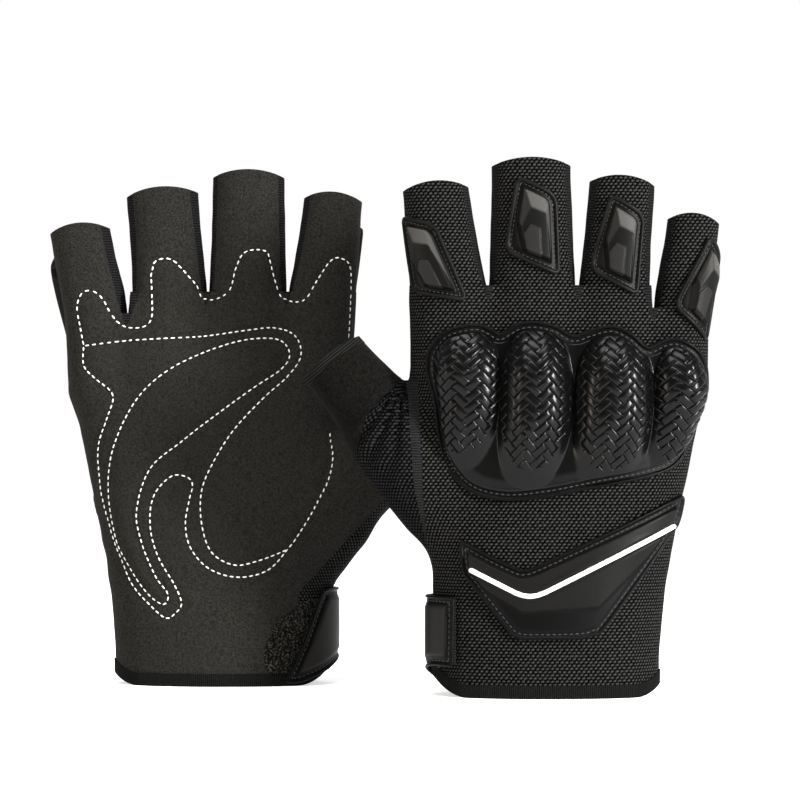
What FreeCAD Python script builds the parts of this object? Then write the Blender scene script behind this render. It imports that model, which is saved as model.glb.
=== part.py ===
"""A pair of fingerless riding gloves with a hard knuckle guard, standing on their cuffs.

Millimetres. Each glove is drawn in its own frame: x runs across the hand with the thumb at -x, y runs
through it with the back of the hand at -y and the palm at +y, and z runs from the cuff to the fingertips.
The front glove keeps that frame and shows its back. The rear glove is the same glove turned half a turn
about z, so it shows its palm; only its thumb lies lower.

The hand is a loft of sections that run from an ellipse at the cuff to a squarer oval at the fingers.
Every layer sewn on it or under it lies between two such lofts of different offsets, so neighbouring
layers share a surface.
"""

import FreeCAD, Part
import math
import os

from FreeCAD import Vector

# Place of each glove, so that the origin is the middle of the pair's footprint.
FRONT_X, FRONT_Y = 56.7, -30.0
REAR_X, REAR_Y = -56.7, 30.0
FRONT_THUMB_DEG = 51.0  # thumb's rise above the horizontal
REAR_THUMB_DEG = 24.0

# Fabric and layer thicknesses.
WALL = 1.6  # outer fabric
PAD = 2.0  # foam under the palm
LINING = 0.6
BINDING = 1.0
BINDING_HEIGHT = 6.0
FLANGE = 1.6  # rubber skirt of the knuckle guard
CHEVRON = 2.6
STRIP_DEPTH, STRIP_PROUD, STRIP_WIDTH = 0.8, 0.3, 1.9
FINGER_GUARD = 2.8
BODY_GAP = 0.5  # between pieces that move apart

# Hand: height, thumb-side edge, little-finger edge, half depth, squareness (2 is an ellipse).
HAND = (
    (-10.0, -38.5, 37.0, 23.0, 2.0),
    (20.0, -38.0, 38.0, 21.5, 2.05),
    (50.0, -39.5, 42.0, 20.0, 2.15),
    (80.0, -42.5, 48.0, 18.0, 2.3),
    (108.0, -44.8, 51.6, 15.6, 2.6),
    (132.0, -46.6, 54.4, 12.8, 3.0),
    (144.0, -47.4, 55.6, 12.2, 3.0),
)
SECTION_POINTS = 32
HAND_TOP = 132.0  # where the stalls of the first three fingers begin
NOTCH_X, NOTCH_TOP = 34.0, 124.0  # the little finger begins lower
TALL = 220.0
WIDE = 90.0

# Hem: flat across the middle, rising to the side seams.
HEM_FLAT, HEM_MID, HEM_MID_RISE, HEM_SIDE, HEM_RISE = 27.0, 34.5, 2.4, 40.0, 8.5

# Fingers: name, base height, base centre and width, top height, centre and width, half depth, guard roll.
FINGERS = (
    ("index", 132.0, -34.5, 23.4, 171.0, -38.4, 22.2, 10.4, -30.0),
    ("middle", 132.0, -6.6, 28.6, 179.0, -6.2, 26.8, 11.4, 0.0),
    ("ring", 132.0, 21.3, 23.8, 173.5, 24.6, 22.4, 10.4, 3.0),
    ("little", 124.0, 44.6, 19.2, 160.5, 48.6, 18.2, 9.4, 34.0),
)
WEB_REACH, WEB_HEIGHT, NOTCH_WEB = 12.2, 2.5, 0.7  # knitted strips between the fingers
FINGER_HINGE_Y = 5.0  # flexing axis, between the middle of the finger and its palm side
FINGER_FLEX_DEG = 45.0
GUARD_RISE = (1.2, 10.2, 4.4, 1.2)  # lower tip of each finger guard above its finger's base
# Finger guard outline: across the finger, up from the lower tip, corner radius.
GUARD_OUTLINE = (
    (6.6, 0.0, 2.0),
    (9.4, 3.4, 2.0),
    (8.6, 25.8, 2.4),
    (-2.4, 31.4, 2.0),
    (-4.8, 28.0, 1.6),
    (-7.2, 6.6, 2.4),
)

# Thumb: a straight stall on a gusset that opens from the side of the hand.
THUMB_ROOT = (-37.4, 71.4)
THUMB_KNEE, THUMB_LENGTH = 24.0, 54.0  # from the root, along the thumb
THUMB_HALF_WIDTH, THUMB_HALF_DEPTH = 12.2, 11.2
GUSSET_X, GUSSET_Z, GUSSET_HALF_HEIGHT, GUSSET_HALF_DEPTH = -34.0, 75.0, 27.0, 13.0
THUMB_SEAM, THUMB_SEAM_TURN = 28.0, 20.0  # seam's place along the thumb, and its slant
THUMB_HINGE_Y = 11.4

# Knuckle guard outline: x, z, corner radius.
KNUCKLE_OUTLINE = (
    (-40.0, 106.0, 8.0),
    (-36.5, 124.8, 9.0),
    (-20.5, 124.8, 8.0),
    (-16.8, 119.4, 4.0),
    (-11.0, 125.6, 8.0),
    (2.5, 125.6, 8.0),
    (7.6, 119.0, 4.0),
    (14.0, 123.9, 9.0),
    (26.0, 123.9, 9.0),
    (32.2, 115.6, 4.0),
    (37.0, 119.6, 8.0),
    (50.4, 119.6, 9.0),
    (51.4, 96.0, 18.0),
    (43.0, 75.0, 9.0),
    (-4.0, 65.4, 30.0),
    (-33.0, 65.4, 16.0),
    (-37.6, 90.0, 12.0),
)
# The four domes: x and z of the middle, half width, half height.
DOMES = (
    (-26.6, 102.0, 9.6, 19.0),
    (-3.6, 99.5, 11.4, 21.5),
    (20.6, 97.8, 11.6, 20.8),
    (41.0, 97.4, 8.2, 17.2),
)
DOME_BASE_Y = (-11.5, -12.5, -12.5, -11.0)  # where the domes' middles lie, under the skin of the hand
DOME_DEPTH = 13.0
SHELL_WALL = 2.0
SHELL_LIP = 2.4  # the shell's smooth skirt, above the flange

# Chevron guard on the back of the wrist: x, z, corner radius.
CHEVRON_OUTLINE = (
    (-29.6, 53.2, 1.5),
    (-7.4, 43.0, 5.0),
    (44.0, 66.0, 1.5),
    (41.0, 52.0, 8.0),
    (18.0, 22.0, 6.0),
    (11.0, 20.2, 3.0),
    (-10.6, 20.2, 5.0),
    (-22.6, 31.4, 6.0),
    (-29.6, 41.6, 3.0),
)
STRIP_PATH = ((-25.6, 42.8), (-6.8, 34.2), (40.6, 56.4))

# Palm foam pads, as x, z, corner radius: a crescent from the index finger round to the heel, and the ball
# of the thumb.
CRESCENT_PAD = (
    (-25.5, 121.0, 4.0),
    (8.0, 119.0, 18.0),
    (31.0, 102.0, 14.0),
    (41.0, 70.0, 18.0),
    (32.0, 38.0, 10.0),
    (17.0, 27.0, 2.0),
    (29.0, 52.0, 14.0),
    (27.0, 73.0, 10.0),
    (-25.5, 109.0, 4.0),
)
THUMB_PAD = (
    (-27.0, 103.0, 4.0),
    (5.5, 76.0, 10.0),
    (6.5, 52.0, 9.0),
    (-12.0, 41.0, 10.0),
    (-30.0, 62.0, 10.0),
)

# Wrist closure on the thumb side: the strap's ends on the back and on the palm, and its heights.
STRAP_BACK_X, STRAP_PALM_X, STRAP_LOW, STRAP_HIGH = -30.5, -22.0, 10.0, 33.0
LOOP_PALM_X, LOOP_BACK_X = -11.0, -33.0
LOOP = 1.0
HOOK_FROM, STRAP_FROM, COVER_FROM, COVER_TO = 1.5, 2.2, 3.4, 4.8

X_AXIS, Y_AXIS, Z_AXIS = Vector(1, 0, 0), Vector(0, 1, 0), Vector(0, 0, 1)


def ellipse(centre, x_direction, half_x, half_y, y_direction=Y_AXIS):
    """Closed elliptical wire. Its two half axes lie along the two directions."""
    if half_x >= half_y:
        curve = Part.Ellipse(centre + x_direction * half_x, centre + y_direction * half_y, centre)
    else:
        curve = Part.Ellipse(centre + y_direction * half_y, centre - x_direction * half_x, centre)
    return Part.Wire([curve.toShape()])


def oval(centre, half_x, half_y, squareness):
    """Closed horizontal wire through points of a superellipse."""
    points = []
    for i in range(SECTION_POINTS):
        turn = math.radians(360 * (i + 0.5) / SECTION_POINTS)
        x = math.copysign(abs(math.cos(turn)) ** (2 / squareness), math.cos(turn))
        y = math.copysign(abs(math.sin(turn)) ** (2 / squareness), math.sin(turn))
        points.append(centre + Vector(half_x * x, half_y * y, 0))
    curve = Part.BSplineCurve()
    curve.interpolate(points, True)
    return Part.Wire([curve.toShape()])


def rounded_wire(corners):
    """Closed wire in the xz plane through (x, z, radius) corners, each rounded by an arc."""
    points = [Vector(x, 0, z) for x, z, _ in corners]
    count = len(points)
    cuts = []
    for i, (_, _, radius) in enumerate(corners):
        before = (points[i - 1] - points[i]).normalize()
        after = (points[(i + 1) % count] - points[i]).normalize()
        half = before.getAngle(after) / 2
        reach = radius / math.tan(half)
        middle = (before + after).normalize() * (radius / math.sin(half) - radius)
        cuts.append((points[i] + before * reach, points[i] + middle, points[i] + after * reach))
    edges = []
    for i, (start, middle, end) in enumerate(cuts):
        edges.append(Part.Arc(start, middle, end).toShape())
        edges.append(Part.LineSegment(end, cuts[(i + 1) % count][0]).toShape())
    return Part.Wire(edges)


def prism(corners, y_from, y_to):
    """The rounded outline, drawn in the xz plane, as a solid between two depths."""
    face = Part.Face(rounded_wire(corners))
    face.translate(Vector(0, y_from, 0))
    return face.extrude(Vector(0, y_to - y_from, 0))


def box(low, high):
    size = [b - a for a, b in zip(low, high)]
    return Part.makeBox(*size, Vector(*low))


def beyond(point, normal, reach=WIDE * 2):
    """Everything on the normal's side of a plane, as a large box."""
    block = Part.makeBox(2 * reach, 2 * reach, reach, Vector(-reach, -reach, 0))
    block.Placement = FreeCAD.Placement(point, FreeCAD.Rotation(Z_AXIS, normal))
    return block


def hand(offset):
    """The hand's outer form, grown by offset."""
    wires = []
    for z, left, right, half_depth, squareness in HAND:
        centre = Vector((left + right) / 2, 0, z)
        wires.append(oval(centre, (right - left) / 2 + offset, half_depth + offset, squareness))
    return Part.makeLoft(wires, True, False)


def layer(low, high):
    """The hand's layer between two offsets, over the full height."""
    return hand(high).cut(hand(low))


def above_hem(rise=0.0):
    """Everything above the hem line, which is raised by rise."""
    low, mid, side = rise, rise + HEM_MID_RISE, rise + HEM_RISE
    left = Part.Arc(Vector(-HEM_SIDE, 0, side), Vector(-HEM_MID, 0, mid), Vector(-HEM_FLAT, 0, low))
    right = Part.Arc(Vector(HEM_FLAT, 0, low), Vector(HEM_MID, 0, mid), Vector(HEM_SIDE, 0, side))
    corners = [
        Vector(HEM_SIDE, 0, side), Vector(WIDE, 0, side), Vector(WIDE, 0, TALL),
        Vector(-WIDE, 0, TALL), Vector(-WIDE, 0, side), Vector(-HEM_SIDE, 0, side),
    ]
    flat = Part.makeLine(Vector(-HEM_FLAT, 0, low), Vector(HEM_FLAT, 0, low))
    edges = [left.toShape(), flat, right.toShape()]
    edges += [Part.makeLine(a, b) for a, b in zip(corners, corners[1:])]
    face = Part.Face(Part.Wire(edges))
    face.translate(Vector(0, -WIDE, 0))
    return face.extrude(Vector(0, 2 * WIDE, 0))


def below_fingers(drop=0.0):
    """Everything under the finger stalls, with the little finger's lower notch."""
    tall = box((-WIDE, -WIDE, -WIDE), (NOTCH_X, WIDE, HAND_TOP - drop))
    return tall.fuse(box((NOTCH_X, -WIDE, -WIDE), (WIDE, WIDE, NOTCH_TOP - drop)))


BACK_SIDE = box((-WIDE, -WIDE, -WIDE), (WIDE, 0, TALL))
PALM_SIDE = box((-WIDE, 0, -WIDE), (WIDE, WIDE, TALL))


def thumb_directions(degrees):
    """Unit vectors along the thumb and across it, and the seam's direction and normal."""
    turn = math.radians(degrees)
    along = Vector(-math.cos(turn), 0, math.sin(turn))
    across = Vector(math.sin(turn), 0, math.cos(turn))
    seam_turn = math.radians(90 - degrees + THUMB_SEAM_TURN)
    seam = Vector(math.cos(seam_turn), 0, math.sin(seam_turn))
    normal = Vector(-seam.z, 0, seam.x)
    return along, across, seam, normal


def thumb(degrees, offset, overrun=0.0):
    """The thumb's form from inside the hand to its tip, grown by offset and made longer by overrun."""
    along, across, _, _ = thumb_directions(degrees)
    root = Vector(THUMB_ROOT[0], 0, THUMB_ROOT[1])
    inside = Vector(GUSSET_X, 0, GUSSET_Z)
    wires = [ellipse(inside, Z_AXIS, GUSSET_HALF_HEIGHT + offset, GUSSET_HALF_DEPTH + offset)]
    for distance in (THUMB_KNEE, THUMB_LENGTH + overrun):
        centre = root + along * distance
        wires.append(ellipse(centre, across, THUMB_HALF_WIDTH + offset, THUMB_HALF_DEPTH + offset))
    return Part.makeLoft(wires, True, True)


def finger(spec, offset, low_share=0.0, high_share=1.0):
    """A finger's form as a cone of ellipses, from one share of its length to another, grown by offset."""
    _, z0, x0, width0, z1, x1, width1, half_depth, _ = spec
    wires = []
    for share in (low_share, high_share):
        centre = Vector(x0 + (x1 - x0) * share, 0, z0 + (z1 - z0) * share)
        half_width = (width0 + (width1 - width0) * share) / 2
        wires.append(ellipse(centre, X_AXIS, half_width + offset, half_depth + offset))
    return Part.makeLoft(wires, True, True)


def finger_axis(spec):
    _, z0, x0, _, z1, x1, _, _, _ = spec
    return Vector(x1 - x0, 0, z1 - z0).normalize()


def finger_stall(spec):
    """The stall's tube: mitred at its palm side, where it folds towards the palm, and square at its tip."""
    _, z0, _, _, z1, x1, _, _, _ = spec
    tube = finger(spec, 0, 0.0, 1.2).cut(finger(spec, -WALL, -0.2, 1.4))
    tube = tube.cut(beyond(Vector(x1, 0, z1), finger_axis(spec)))
    hinge = Vector(0, FINGER_HINGE_Y, z0 + BODY_GAP)
    fold = math.radians(FINGER_FLEX_DEG)
    tube = tube.cut(beyond(hinge, Vector(0, math.sin(fold), -math.cos(fold))))
    return tube.cut(beyond(hinge, Vector(0, 0, -1)))


def finger_guard(spec, rise):
    """The rubber guard, wrapped on the stall's back and turned round it by its roll."""
    _, z0, x0, _, z1, x1, _, _, roll = spec
    outline = prism([(x, z + rise, r) for x, z, r in GUARD_OUTLINE], -WIDE / 2, 0)
    outline.rotate(Vector(0, 0, 0), Z_AXIS, roll)
    outline.rotate(Vector(0, 0, 0), Y_AXIS, math.degrees(math.atan2(x1 - x0, z1 - z0)))
    outline.translate(Vector(x0, 0, z0))
    skin = finger(spec, FINGER_GUARD, 0.0, 1.2).cut(finger(spec, 0, -0.1, 1.3))
    guard = skin.common(outline)
    return guard.cut(beyond(Vector(0, 0, z0 + BODY_GAP), Vector(0, 0, -1)))


def dome(spec, base_y, thickness, shrink):
    """An ellipsoid standing out of the back of the hand, drawn in by shrink on every side."""
    x, z, half_x, half_z = spec
    stretch = FreeCAD.Matrix()
    stretch.scale(half_x - shrink, thickness - shrink, half_z - shrink)
    bulb = Part.makeSphere(1.0).transformGeometry(stretch)
    bulb.translate(Vector(x, base_y, z))
    return bulb


def knuckle_guard():
    """Rubber flange, foam and hard shell with its four domes."""
    flange = layer(0, FLANGE).common(prism(KNUCKLE_OUTLINE, -WIDE, 0))
    under = hand(FLANGE)
    lip_outline = [inset(corner) for corner in KNUCKLE_OUTLINE]
    shell = layer(FLANGE, FLANGE + SHELL_LIP).common(prism(lip_outline, -WIDE, 0))
    foams = []
    for spec, base_y in zip(DOMES, DOME_BASE_Y):
        shell = shell.fuse(dome(spec, base_y, DOME_DEPTH, 0.0).cut(under))
        foams.append(dome(spec, base_y, DOME_DEPTH, SHELL_WALL).cut(under))
    for piece in foams:
        shell = shell.cut(piece)
    return flange, Part.makeCompound(foams), shell


def inset(corner, share=0.90, middle=(6.0, 96.0)):
    """A guard corner drawn in towards the guard's middle."""
    x, z, radius = corner
    return middle[0] + (x - middle[0]) * share, middle[1] + (z - middle[1]) * share, radius * share


def strip_prism():
    """The reflective strip's bent outline, with a mitred corner, as a solid through the back."""
    (x0, z0), (x1, z1), (x2, z2) = STRIP_PATH
    first = Vector(x1 - x0, 0, z1 - z0).normalize()
    second = Vector(x2 - x1, 0, z2 - z1).normalize()
    side_first, side_second = Vector(-first.z, 0, first.x), Vector(-second.z, 0, second.x)
    mitre = (side_first + side_second).normalize()
    mitre = mitre * (1 / mitre.dot(side_first))
    half = STRIP_WIDTH / 2
    start, bend, end = Vector(x0, 0, z0), Vector(x1, 0, z1), Vector(x2, 0, z2)
    corners = [
        start + side_first * half, bend + mitre * half, end + side_second * half,
        end - side_second * half, bend - mitre * half, start - side_first * half,
    ]
    face = Part.Face(Part.makePolygon(corners + corners[:1]))
    return face.extrude(Vector(0, -WIDE, 0))


def chevron_guard():
    """The rubber guard over the wrist and the reflective strip set in its groove."""
    plate = layer(0, CHEVRON).common(prism(CHEVRON_OUTLINE, -WIDE, 0))
    strip = layer(CHEVRON - STRIP_DEPTH, CHEVRON + STRIP_PROUD).common(strip_prism())
    return plate.cut(strip), strip


def wrap(low, high, palm_x, back_x, z_low, z_high):
    """A band round the thumb side of the wrist, from palm_x on the palm to back_x on the back."""
    ring = layer(low, high)
    palm_part = box((-WIDE, 0, z_low), (palm_x, WIDE, z_high))
    back_part = box((-WIDE, -WIDE, z_low), (back_x, 0, z_high))
    return ring.common(palm_part.fuse(back_part).removeSplitter())


def palm_pads(keep):
    """The foam pads between the palm and its lining."""
    foam = layer(-WALL - PAD, -WALL)
    return [foam.common(prism(outline, 0, WIDE)).common(keep) for outline in (CRESCENT_PAD, THUMB_PAD)]


def web_strips():
    """The knitted strip at the foot of each gap between two fingers, sewn to the back and to the palm."""
    index, middle, ring, _ = FINGERS
    strips = []
    for low, high in ((index, middle), (middle, ring)):
        left = low[2] + low[3] / 2 + BODY_GAP / 2
        right = high[2] - high[3] / 2 - BODY_GAP / 2
        strips.append(box((left, -WEB_REACH, HAND_TOP), (right, WEB_REACH, HAND_TOP + WEB_HEIGHT)))
    low_corner = (NOTCH_X, BODY_GAP - WEB_REACH, NOTCH_TOP + BODY_GAP)
    strips.append(box(low_corner, (NOTCH_X + NOTCH_WEB, WEB_REACH - BODY_GAP, HAND_TOP)))
    return strips


def glove(thumb_degrees):
    """Every piece of one glove, by name, in the glove's own frame."""
    keep = above_hem().common(below_fingers())
    thumb_room = thumb(thumb_degrees, -WALL, 4.0)
    shell = layer(-WALL, 0).common(keep).cut(thumb_room)
    pieces = {"back_panel": shell.common(BACK_SIDE), "palm_panel": shell.common(PALM_SIDE)}

    inner = above_hem(BINDING_HEIGHT).common(below_fingers(2.0))
    lining = layer(-WALL - PAD - LINING, -WALL - PAD).common(PALM_SIDE).common(inner)
    pieces["palm_lining"] = lining.cut(thumb(thumb_degrees, 0))
    pads = [pad.cut(thumb(thumb_degrees, 0)) for pad in palm_pads(inner)]
    pieces["palm_pads"] = Part.makeCompound(pads)
    pieces["cuff_binding"] = layer(0, BINDING).common(above_hem().cut(above_hem(BINDING_HEIGHT)))

    flange, foam, knuckles = knuckle_guard()
    pieces["knuckle_flange"], pieces["knuckle_foam"], pieces["knuckle_shell"] = flange, foam, knuckles
    pieces["chevron_guard"], pieces["reflective_strip"] = chevron_guard()

    for spec, rise in zip(FINGERS, GUARD_RISE):
        stall = finger_stall(spec)
        pieces[spec[0] + "_back"] = stall.common(BACK_SIDE)
        pieces[spec[0] + "_front"] = stall.common(PALM_SIDE)
        pieces[spec[0] + "_guard"] = finger_guard(spec, rise)
    pieces["finger_webs"] = Part.makeCompound(web_strips())

    along, _, _, normal = thumb_directions(thumb_degrees)
    seam_point = Vector(THUMB_ROOT[0], 0, THUMB_ROOT[1]) + along * THUMB_SEAM
    tube = thumb(thumb_degrees, 0).cut(thumb_room)
    pieces["thumb_stall"] = tube.common(beyond(seam_point + normal * BODY_GAP, normal))
    pieces["thumb_gusset"] = tube.cut(beyond(seam_point, normal)).cut(hand(0)).cut(flange)

    low, high = STRAP_LOW, STRAP_HIGH
    palm_x, back_x = STRAP_PALM_X, STRAP_BACK_X
    loops = wrap(0, LOOP, LOOP_PALM_X, LOOP_BACK_X, low, high - 2)
    pieces["loop_patch"] = loops.cut(pieces["cuff_binding"])
    pieces["hook_patch"] = wrap(HOOK_FROM, STRAP_FROM, palm_x - 2, LOOP_BACK_X - 1, low + 2, high - 2)
    pieces["strap"] = wrap(STRAP_FROM, COVER_FROM, palm_x, back_x, low, high)
    pieces["strap_cover"] = wrap(COVER_FROM, COVER_TO, palm_x - 2, back_x - 1, low + 1, high - 1)
    return pieces


def place(shape, x, y, turn):
    """A copy of the shape, turned about the glove's own z axis and set down in the pair."""
    placed = shape.copy()
    placed.rotate(Vector(0, 0, 0), Z_AXIS, turn)
    placed.translate(Vector(x, y, 0))
    return placed


def main():
    os.makedirs("parts", exist_ok=True)
    placements = (
        ("front_", FRONT_THUMB_DEG, FRONT_X, FRONT_Y, 0),
        ("rear_", REAR_THUMB_DEG, REAR_X, REAR_Y, 180),
    )
    for prefix, thumb_degrees, x, y, turn in placements:
        for name, shape in glove(thumb_degrees).items():
            placed = place(shape, x, y, turn)
            solids = len(placed.Solids)
            print(f"{prefix}{name}: {solids} solids, {placed.Volume:.0f} mm3, valid {placed.isValid()}")
            placed.exportStep(f"parts/{prefix}{name}.step")


main()
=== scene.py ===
"""Looks for the pair of fingerless riding gloves.

Shapes are worked out in each glove's own frame, in millimetres: x across the hand with the thumb at -x,
y through it with the back of the hand at -y, z from the cuff to the fingertips. The skin is the zero
surface of a field made of a hand, four fingers and a thumb; guards, bands and stitches are laid on it.
"""
import math
from functools import partial

import bpy
import mathutils
import numpy as np
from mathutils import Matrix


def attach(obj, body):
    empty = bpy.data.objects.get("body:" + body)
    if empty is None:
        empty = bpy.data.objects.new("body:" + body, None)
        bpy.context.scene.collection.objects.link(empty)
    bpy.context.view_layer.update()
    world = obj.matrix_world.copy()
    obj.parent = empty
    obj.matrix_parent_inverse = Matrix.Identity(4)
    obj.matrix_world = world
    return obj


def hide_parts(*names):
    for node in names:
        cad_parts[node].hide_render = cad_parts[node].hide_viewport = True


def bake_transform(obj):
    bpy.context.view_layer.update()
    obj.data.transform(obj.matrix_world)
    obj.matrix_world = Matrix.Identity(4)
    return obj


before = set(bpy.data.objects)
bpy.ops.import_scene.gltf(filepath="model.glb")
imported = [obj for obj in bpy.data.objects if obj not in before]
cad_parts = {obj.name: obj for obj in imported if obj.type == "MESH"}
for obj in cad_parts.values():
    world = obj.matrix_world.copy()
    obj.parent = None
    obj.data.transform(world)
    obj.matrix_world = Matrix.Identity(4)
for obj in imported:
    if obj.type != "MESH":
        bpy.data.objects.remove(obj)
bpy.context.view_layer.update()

# ---------------------------------------------------------------- the two gloves

# Place, side (-1 is turned half a turn), the thumb's rise above level, and what only the rear glove has:
# fingers that lean over, and fabric stretched between its lowered thumb and the wrist.
GLOVES = {
    "front": {"x": 56.7, "y": -30.0, "side": 1.0, "thumb_deg": 51.0, "seed": 5, "lean": 0.0, "web": False},
    "rear": {"x": -56.7, "y": 30.0, "side": -1.0, "thumb_deg": 24.0, "seed": 23, "lean": 1.0, "web": True},
}
WEB = 137.0  # the first three fingers leave the hand here
LITTLE_WEB = 129.5  # and the little finger here
SLITS = (-20.8, 9.15, 34.2)  # the gaps between the fingers
CLOTH = 1.3  # thickness of the fabric

# Hand: height, thumb-side edge, little-finger edge, half depth, squareness.
HAND = np.array([
    (-12.0, -38.9, 36.2, 22.8, 2.0),
    (18.0, -39.1, 37.0, 21.4, 2.05),
    (43.0, -39.2, 39.9, 20.0, 2.15),
    (62.0, -40.8, 43.6, 18.8, 2.2),
    (80.0, -42.6, 47.3, 17.6, 2.3),
    (98.0, -44.0, 50.4, 16.2, 2.5),
    (112.0, -44.8, 51.2, 14.2, 2.7),
    (125.0, -45.7, 52.0, 11.4, 2.9),
    (138.0, -46.9, 53.2, 8.2, 3.0),
    (150.0, -47.5, 54.0, 7.0, 3.0),
])
# Fingers: for each, height, thumb-side edge, other edge, half depth.
FINGERS = {
    "index": np.array([
        (104.0, -43.8, -21.5, 13.6), (137.0, -47.0, -21.1, 10.9), (147.0, -47.8, -23.2, 10.4),
        (158.0, -48.6, -25.2, 10.1), (176.0, -49.8, -27.7, 9.8)]),
    "middle": np.array([
        (104.0, -21.5, 9.3, 14.6), (137.0, -20.5, 8.8, 11.9), (147.0, -20.2, 8.3, 11.4),
        (160.0, -19.9, 7.8, 11.0), (184.0, -19.5, 7.1, 10.6)]),
    "ring": np.array([
        (104.0, 8.8, 34.0, 14.0), (137.0, 9.5, 33.8, 11.2), (147.0, 10.6, 34.0, 10.6),
        (158.0, 11.8, 34.5, 10.2), (178.0, 13.6, 35.9, 9.9)]),
    "little": np.array([
        (98.0, 33.6, 50.4, 12.6), (129.5, 34.5, 53.2, 10.0), (139.0, 35.8, 54.4, 9.6),
        (150.0, 37.9, 56.0, 9.3), (165.0, 40.2, 57.8, 9.0)]),
}
# Tips: height at the middle of the finger, and tilt across it.
TIPS = {"index": (171.8, 0.06), "middle": (179.6, 0.0), "ring": (173.6, -0.08), "little": (161.0, -0.12)}
# Sides of each finger that face another finger and carry a knitted strip.
STRIPS = {"index": (0, 1), "middle": (1, 1), "ring": (1, 1), "little": (1, 0)}
STRIP_HALF = 6.2  # half depth of that strip

# Thumb: distance from its root, middle and half width across, half depth.
THUMB_ROOT = (-37.4, 71.4)
THUMB = np.array([
    (-26.0, 0.0, 14.0, 9.0), (-8.0, -1.5, 16.3, 13.0), (10.0, -2.0, 15.8, 13.6), (24.0, -2.1, 14.8, 12.8),
    (36.0, -1.4, 13.0, 11.6), (55.0, -1.6, 11.6, 10.6), (64.0, -1.6, 11.3, 10.4)])
THUMB_TIP = 55.5
HAND_EDGE = -48.6  # nothing nearer the hand than this belongs to the thumb
THUMB_FOLD = 28.0  # the fold where the thumb turns, along the thumb
THUMB_BEND = (2.2, 12.0)  # how far past the fold the thumb's cloth begins, and a second place further on
FINGER_BEND = 12.0  # a second place this far up a finger from its foot
# Fabric between a lowered thumb and the wrist: middle, the way it leans, half sizes along and across.
HEEL_WEB_AT = (-41.0, 50.6)
HEEL_WEB_LEAN = (-0.626, 0.78)
HEEL_WEB_LONG, HEEL_WEB_THIN = 20.0, 9.0

HEM_BAND = 4.4  # height of the tape round the cuff
PAD_UNDER, PAD_DEPTH = 1.45, 1.75  # the palm pads: how far under the skin, and how thick


def smooth(knots, values, at):
    """Cubic curve through the knots, flat beyond them."""
    slopes = np.gradient(values, knots)
    i = np.clip(np.searchsorted(knots, at) - 1, 0, len(knots) - 2)
    span = knots[i + 1] - knots[i]
    t = np.clip((at - knots[i]) / span, 0.0, 1.0)
    start = (1 + 2 * t) * (1 - t) ** 2 * values[i] + t * (1 - t) ** 2 * span * slopes[i]
    return start + t * t * (3 - 2 * t) * values[i + 1] + t * t * (t - 1) * span * slopes[i + 1]


def step(low, high, at):
    """Smooth step from 0 to 1."""
    t = np.clip((at - low) / (high - low), 0.0, 1.0)
    return t * t * (3 - 2 * t)


def section(table, at):
    """The other columns of a table at given values of its first."""
    return [smooth(table[:, 0], table[:, k], at) for k in range(1, table.shape[1])]


def union(a, b, reach):
    """Smooth union of two fields."""
    h = np.clip(0.5 + 0.5 * (b - a) / reach, 0.0, 1.0)
    return b * (1 - h) + a * h - reach * h * (1 - h)


def oval(across, through, square):
    """Distance-like field of an oval, from coordinates already divided by its half sizes."""
    u, half_u = across
    v, half_v = through
    u = np.abs(u) / half_u
    v = np.abs(v) / half_v
    ring = (u ** square + v ** square) ** (1 / square)
    ring = np.maximum(ring, 0.05)
    slope = np.hypot(u ** (square - 1) / half_u, v ** (square - 1) / half_v) / ring ** (square - 1)
    return (ring - 1) / np.maximum(slope, 0.7 / np.maximum(half_u, half_v))


def hand_section(z):
    """Middle, half width, half depth and squareness of the hand at each height."""
    left, right, depth, square = section(HAND, z)
    return (left + right) / 2, (right - left) / 2, depth, square


def root_of(name):
    """Height where a finger leaves the hand."""
    return LITTLE_WEB if name == "little" else WEB


def finger_section(name, z):
    """Middle, half width and half depth of a finger at each height."""
    left, right, depth = section(FINGERS[name], z)
    return (left + right) / 2, (right - left) / 2, depth


def finger_field(name, x, y, z):
    """A finger, which sinks into the hand below its first section."""
    centre, width, depth = finger_section(name, z)
    sunk = np.clip(FINGERS[name][0, 0] + 4 - z, 0, None)
    return oval((x - centre, width), (y, depth), 2.25) + 0.4 * sunk + 0.03 * sunk ** 2


def with_fingers(field, names, x, y, z):
    """A field with fingers joined to it: crisp where they leave the hand and softer below."""
    for name in names:
        reach = 0.9 + 0.28 * np.clip(root_of(name) - z, 0, 30)
        field = union(field, finger_field(name, x, y, z), reach)
    return field


def thumb_frame(degrees, x, z):
    """Distance along the thumb and across it."""
    turn = math.radians(degrees)
    dx, dz = x - THUMB_ROOT[0], z - THUMB_ROOT[1]
    return -dx * math.cos(turn) + dz * math.sin(turn), dx * math.sin(turn) + dz * math.cos(turn)


def thumb_field(degrees, x, y, z):
    along, across = thumb_frame(degrees, x, z)
    middle, width, depth = section(THUMB, along)
    field = oval((across - middle, width), (y, depth), 2.15)
    return np.maximum(field, -24.0 - along)


def heel_web(x, y, z):
    """A flat oval that leans along the gap between the thumb and the wrist."""
    lean_x, lean_z = HEEL_WEB_LEAN
    dx, dz = x - HEEL_WEB_AT[0], z - HEEL_WEB_AT[1]
    along, across = dx * lean_x + dz * lean_z, dx * lean_z - dz * lean_x
    thin = HEEL_WEB_THIN
    return thin * (np.sqrt((along / HEEL_WEB_LONG) ** 2 + (across / thin) ** 2 + (y / thin) ** 2) - 1)


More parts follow.
